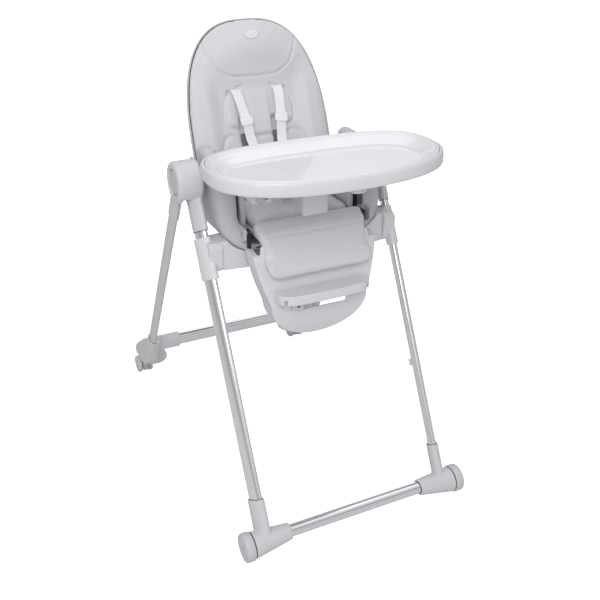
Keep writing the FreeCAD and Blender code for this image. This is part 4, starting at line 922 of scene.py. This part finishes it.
def make_adjuster(side, s):
    """Three-bar slide: a rounded frame with a raised middle bar."""
    way = (on_back(s * 37, -13, 127) - on_back(s * 44, -11, 183)).normalized()
    across = Vector((1, 0, 0.1 * s)).normalized()
    across = (across - way * across.dot(way)).normalized()
    normal = across.cross(way)
    centre = on_back(s * 44, -12.5, 183)
    place = Matrix.Translation(centre) @ Matrix((across, way, normal)).transposed().to_4x4()
    bars = []
    for low_corner, high_corner in (((-15, -11, -2.6), (-11.6, 11, 3.2)), ((11.6, -11, -2.6), (15, 11, 3.2)),
                                    ((-15, -11, -2.6), (15, -7.4, 3.2)), ((-15, 7.4, -2.6), (15, 11, 3.2)),
                                    ((-13, -1.8, 0.8), (13, 1.8, 4.2)), ((-12.4, -9, -2.2), (12.4, 9, -0.6))):
        bars.append(rounded_box("bar", low_corner, high_corner, 1.1, "harness_plastic", place))
    adjuster = join("strap_slide_" + side, bars)
    adjuster.data.set_sharp_from_angle(angle=math.radians(50))
    return adjuster


def make_buckle():
    """Harness buckle: rounded body, sunk press button and the two side tongues."""
    parts = [rounded_box("body", (-25, 345, 704), (25, 359, 740), 5.0, "harness_plastic", segments=5),
             rounded_box("rim", (-13, 342.5, 711), (13, 346.5, 733), 2.0, "harness_plastic", segments=4)]
    for s in (-1, 1):
        parts.append(side_box("tongue", s, (24, 347.5, 710), (36, 356, 734), 2.6, "harness_plastic",
                              segments=4))
    body = join("harness_buckle_body", parts)
    body.data.set_sharp_from_angle(angle=math.radians(50))
    settle(body, "seat", "harness_plastic", "harness_buckle")
    press = rounded_box("harness_button", (-9, 340.8, 715), (9, 344, 729), 1.4, "dark", segments=4)
    settle(press, "seat", "harness_plastic")


# ------ seat, leg rest and footrest
def at_height(line, z):
    """Y of an edge line of the seat shell at a height."""
    for (ya, za), (yb, zb) in zip(line[:-1], line[1:]):
        if min(za, zb) <= z <= max(za, zb) and za != zb:
            return ya + (yb - ya) * (z - za) / (zb - za)
    return line[0][0] if abs(z - line[0][1]) < abs(z - line[-1][1]) else line[-1][0]


def make_seat_shell():
    """Deep U-shaped tub, its front edge rolled into a broad soft rim that widens into the side wings."""
    half, floor_z, corner = SEAT_HALF, SEAT_FLOOR_Z, SEAT_CORNER
    spine = []
    for i in range(15):
        spine.append((-half, SEAT_TOP_Z - (SEAT_TOP_Z - floor_z - corner) * i / 14, -1.0, 0.0))
    for i in range(1, 16):
        angle = math.pi / 2 * i / 15
        spine.append((-half + corner - corner * math.cos(angle), floor_z + corner - corner * math.sin(angle),
                      -math.cos(angle), -math.sin(angle)))
    for i in range(1, 12):
        spine.append((-half + corner + (2 * half - 2 * corner) * i / 12, floor_z, 0.0, -1.0))
    spine += [(-x, z, -nx, nz) for x, z, nx, nz in reversed(spine[:30])]
    rings = []
    for x, z, nx, nz in spine:
        front = at_height(SEAT_FRONT_EDGE, z)
        rear = at_height(SEAT_REAR_EDGE, z)
        side = min(1.0, abs(nx) * 1.3)
        rim = 13 + 31 * side
        bulge = 4.0 * side
        section = [(rear, 0), (rear - 12, 0), (front + 60, 0), (front + 24, -bulge * 0.3), (front + 12, 0.2),
                   (front + 5, 1.8), (front + 1.2, 5.5), (front - bulge * 0.4, 10),
                   (front - bulge, rim * 0.5),
                   (front - bulge * 0.8, rim * 0.75), (front + 0.8, rim - 4), (front + 3.4, rim - 1),
                   (front + 7, rim),
                   (front + 9.5, rim - 1.4), (front + 10, rim - 6), (front + 9, 9), (front + 12, 4.6),
                   (front + 24, 4),
                   (front + 60, 4), (rear - 12, 4), (rear, 4)]
        rings.append([at(x - nx * inward, y, z - nz * inward) for y, inward in section])
    shell = add_mesh("seat_tub", *skin(rings), "seat_plastic", 62)
    settle(shell, "seat", "seat_plastic", "seat_shell")


def make_legrest():
    """Panel with near-black blocks at its hinges as painted shade of the gaps beside its ears, and its hook
    guards; the footrest with its aprons and screw, whose dark cross is painted shade of its recess.
    """
    panel = melted_node("legrest_panel", "legrest", 1.5, 12)
    for vertex in panel.data.vertices:
        if vertex.co.z < PANEL_FOOT_Z:
            vertex.co.z = PANEL_FOOT_Z + (vertex.co.z - PANEL_FOOT_Z) * 0.86
        elif vertex.co.z > PANEL_EAR_Z and abs(vertex.co.x) > 0.1305:
            vertex.co.z = PANEL_EAR_Z + (vertex.co.z - PANEL_EAR_Z) * 0.12
    for side, s in SIDES:
        # near-black block between the panel's ear and the wing: painted shade of that gap
        hinge_shade = side_box("hinge_gap_shade_" + side, s, (137, 251, 606), (143.5, 266, 656), 3.0, "dark")
        settle(hinge_shade, "legrest", SLOT_OF["legrest_panel"])
        guard = [side_box("guard", s, (74, 208, 478), (96, 210, 526), 0.8, "panel_plastic")]
        for x in (74, 94):
            guard.append(side_box("guard", s, (x, 192, 478), (x + 2, 210, 526), 0.8, "panel_plastic"))
        settle(join("hook_guard_" + side, guard), "legrest", SLOT_OF["legrest_panel"])
    melted_node("footrest", "footrest", 1.0, 8)
    for side, s in SIDES:
        apron = side_box("slot_apron_" + side, s, (76, 183.4, 482), (94, 186.2, 512), 1.2, "panel_plastic")
        settle(apron, "footrest", SLOT_OF["footrest"])
    screw = [(0.2, -1.6), (3.2, -1.4), (4.2, -0.4), (4.4, 1.0), (0.2, 1.0)]
    rings = []
    for radius, depth in screw:
        rings.append([at(-58 + radius * math.cos(2 * math.pi * i / 28), 180.5 + depth,
                         487 + radius * math.sin(2 * math.pi * i / 28)) for i in range(28)])
    head = add_mesh("footrest_screw_head", *skin(rings), "steel", 30)
    bars = [head]
    # near-black cross standing on the screw head: painted shade of a cross recess
    for dx, dz in ((2.2, 0.5), (0.5, 2.2)):
        bars.append(rounded_box("cross", (-58 - dx, 178.6, 487 - dz), (-58 + dx, 179.2, 487 + dz), 0.1,
                                "dark"))
    cross = join("footrest_screw_cross_shade", bars[1:])
    settle(head, "footrest", "steel", "footrest_screw")
    settle(cross, "footrest", "steel")


def make_painted_gap_shade():
    """Painted shade: near-black blocks in the gap between the side pads and the wings, and dark blocks in the back
    pad's strap wells beside the straps.
    """
    for side, s in SIDES:
        # near-black block between side pad and wing: painted shade of that gap
        gap_shade = side_box("wing_gap_shade_" + side, s, (143.5, 305, 612), (152.5, 396, 744), 3.0, "dark")
        settle(gap_shade, "seat", "seat_plastic")
    for side, s in SIDES:
        # dark block sunk in the strap well: painted shade beside the strap
        well_shade = side_box("strap_well_shade_" + side, s, (WELL_X[0] + 4, 19, WELL_UP[0] + 2),
                          (WELL_X[1] - 4, 29, WELL_UP[1] - 34), 4.0, "painted_pocket_shade", BACK_PLACE)
        settle(well_shade, "backrest", "leatherette")


def make_badge():
    """Blank oval plate with a raised border."""
    rings = []
    for share, deep in ((0.98, 3.0), (1.0, 1.0), (0.99, -1.2), (0.95, -2.0), (0.88, -2.1), (0.83, -1.5),
                        (0.8, -1.2),
                        (0.5, -1.7), (0.2, -1.9), (0.02, -1.9)):
        ring = []
        for i in range(64):
            angle = 2 * math.pi * i / 64
            ring.append(BACK_PLACE @ Vector((17 * share * math.cos(angle) * MM, (deep - HEAD_BULGE) * MM,
                                             (376 + 11 * share * math.sin(angle)) * MM)))
        rings.append(ring)
    badge = add_mesh("blank_badge", *skin(rings), "badge_plastic", 40)
    settle(badge, "backrest", "badge_plastic", "badge")


def make_recline_handle():
    melted_node("recline_handle", "recline_handle", 0.9, 6)


# ------ camera, floor and lights
CAMERA_AT = at(-748.6, -1254.6, 1307.4)
CAMERA_AZIMUTH = -25.78
CAMERA_ELEVATION = 26.79
CAMERA_LENS = 49.06


def make_camera():
    data = bpy.data.cameras.new("camera")
    data.sensor_width = 36.0
    data.lens = CAMERA_LENS
    data.clip_start = 0.05
    data.clip_end = 50.0
    camera = bpy.data.objects.new("camera", data)
    bpy.context.collection.objects.link(camera)
    azimuth = math.radians(CAMERA_AZIMUTH)
    elevation = math.radians(CAMERA_ELEVATION)
    forward = Vector((-math.sin(azimuth) * math.cos(elevation), math.cos(azimuth) * math.cos(elevation),
                      -math.sin(elevation)))
    camera.location = CAMERA_AT
    camera.rotation_mode = "QUATERNION"
    camera.rotation_quaternion = forward.to_track_quat("-Z", "Y")
    bpy.context.scene.camera = camera


def area_light(name, location, target, size, power):
    data = bpy.data.lights.new(name, "AREA")
    data.shape = "RECTANGLE"
    data.size = size[0]
    data.size_y = size[1]
    data.energy = power
    light = bpy.data.objects.new(name, data)
    light.location = location
    light.rotation_mode = "QUATERNION"
    light.rotation_quaternion = (Vector(target) - Vector(location)).to_track_quat("-Z", "Y")
    bpy.context.collection.objects.link(light)


def make_studio():
    """White surroundings, a darker sky for reflections, two area lights and the floor."""
    world = bpy.data.worlds.new("studio")
    world.use_nodes = True
    nodes, links = world.node_tree.nodes, world.node_tree.links
    background = nodes["Background"]
    path = nodes.new("ShaderNodeLightPath")
    coords = nodes.new("ShaderNodeTexCoord")
    split = nodes.new("ShaderNodeSeparateXYZ")
    links.new(coords.outputs["Generated"], split.inputs["Vector"])
    height = spread(nodes, links, split.outputs["Z"], 0.0, 1.0, -1, 1)
    soft_sky = ramp(nodes, links, height, 0.3, 0.85, (0.38, 0.38, 0.385), (0.62, 0.62, 0.63))
    sharp_sky = ramp(nodes, links, height, 0.5, 0.95, (0.30, 0.30, 0.31), (0.85, 0.85, 0.88))
    element = sharp_sky.node.color_ramp.elements.new(0.66)
    element.color = (0.85, 0.85, 0.87, 1)
    element = sharp_sky.node.color_ramp.elements.new(0.74)
    element.color = (0.22, 0.22, 0.23, 1)
    pick = nodes.new("ShaderNodeMix")
    pick.data_type = "RGBA"
    links.new(path.outputs["Is Glossy Ray"], pick.inputs["Factor"])
    links.new(soft_sky, pick.inputs["A"])
    links.new(sharp_sky, pick.inputs["B"])
    sky = pick.outputs["Result"]
    mix = nodes.new("ShaderNodeMix")
    mix.data_type = "RGBA"
    links.new(path.outputs["Is Camera Ray"], mix.inputs["Factor"])
    links.new(sky, mix.inputs["A"])
    mix.inputs["B"].default_value = (1, 1, 1, 1)
    links.new(mix.outputs["Result"], background.inputs["Color"])
    background.inputs["Strength"].default_value = 1.0
    bpy.context.scene.world = world
    bpy.context.scene.view_settings.view_transform = "Standard"
    area_light("key", (-1.2, -2.2, 2.2), (0, 0, 0.6), (1.6, 1.6), 38)
    area_light("top", (0.4, 0.4, 3.2), (0, 0, 0.6), (2.4, 2.4), 11)
    mesh = bpy.data.meshes.new("floor")
    reach = 14.0
    mesh.from_pydata([(-reach, -reach, -0.0004), (reach, -reach, -0.0004), (reach, reach, -0.0004),
                      (-reach, reach, -0.0004)], [], [(0, 1, 2, 3)])
    floor = bpy.data.objects.new("floor", mesh)
    bpy.context.collection.objects.link(floor)
    material, nodes, links, shader = new_material("floor", (0.66, 0.66, 0.66), 0.6)
    vector = object_coords(nodes, links, (1, 1, 1))
    tone = noise_node(nodes, links, vector, 3.0)
    links.new(ramp(nodes, links, tone, 0.3, 0.7, (0.65, 0.65, 0.65), (0.67, 0.67, 0.67)),
              shader.inputs["Base Color"])
    shader.inputs["Emission Color"].default_value = (1, 1, 1, 1)
    seen = nodes.new("ShaderNodeLightPath")
    links.new(spread(nodes, links, seen.outputs["Is Camera Ray"], 0.04, 0.9),
              shader.inputs["Emission Strength"])
    mesh.materials.append(material)


make_camera()
make_studio()
dress_nodes()
make_frame()
make_seat_shell()
make_back_shell()
make_pads()
make_harness()
make_legrest()
make_tray()
make_badge()
make_painted_gap_shade()
make_recline_handle()
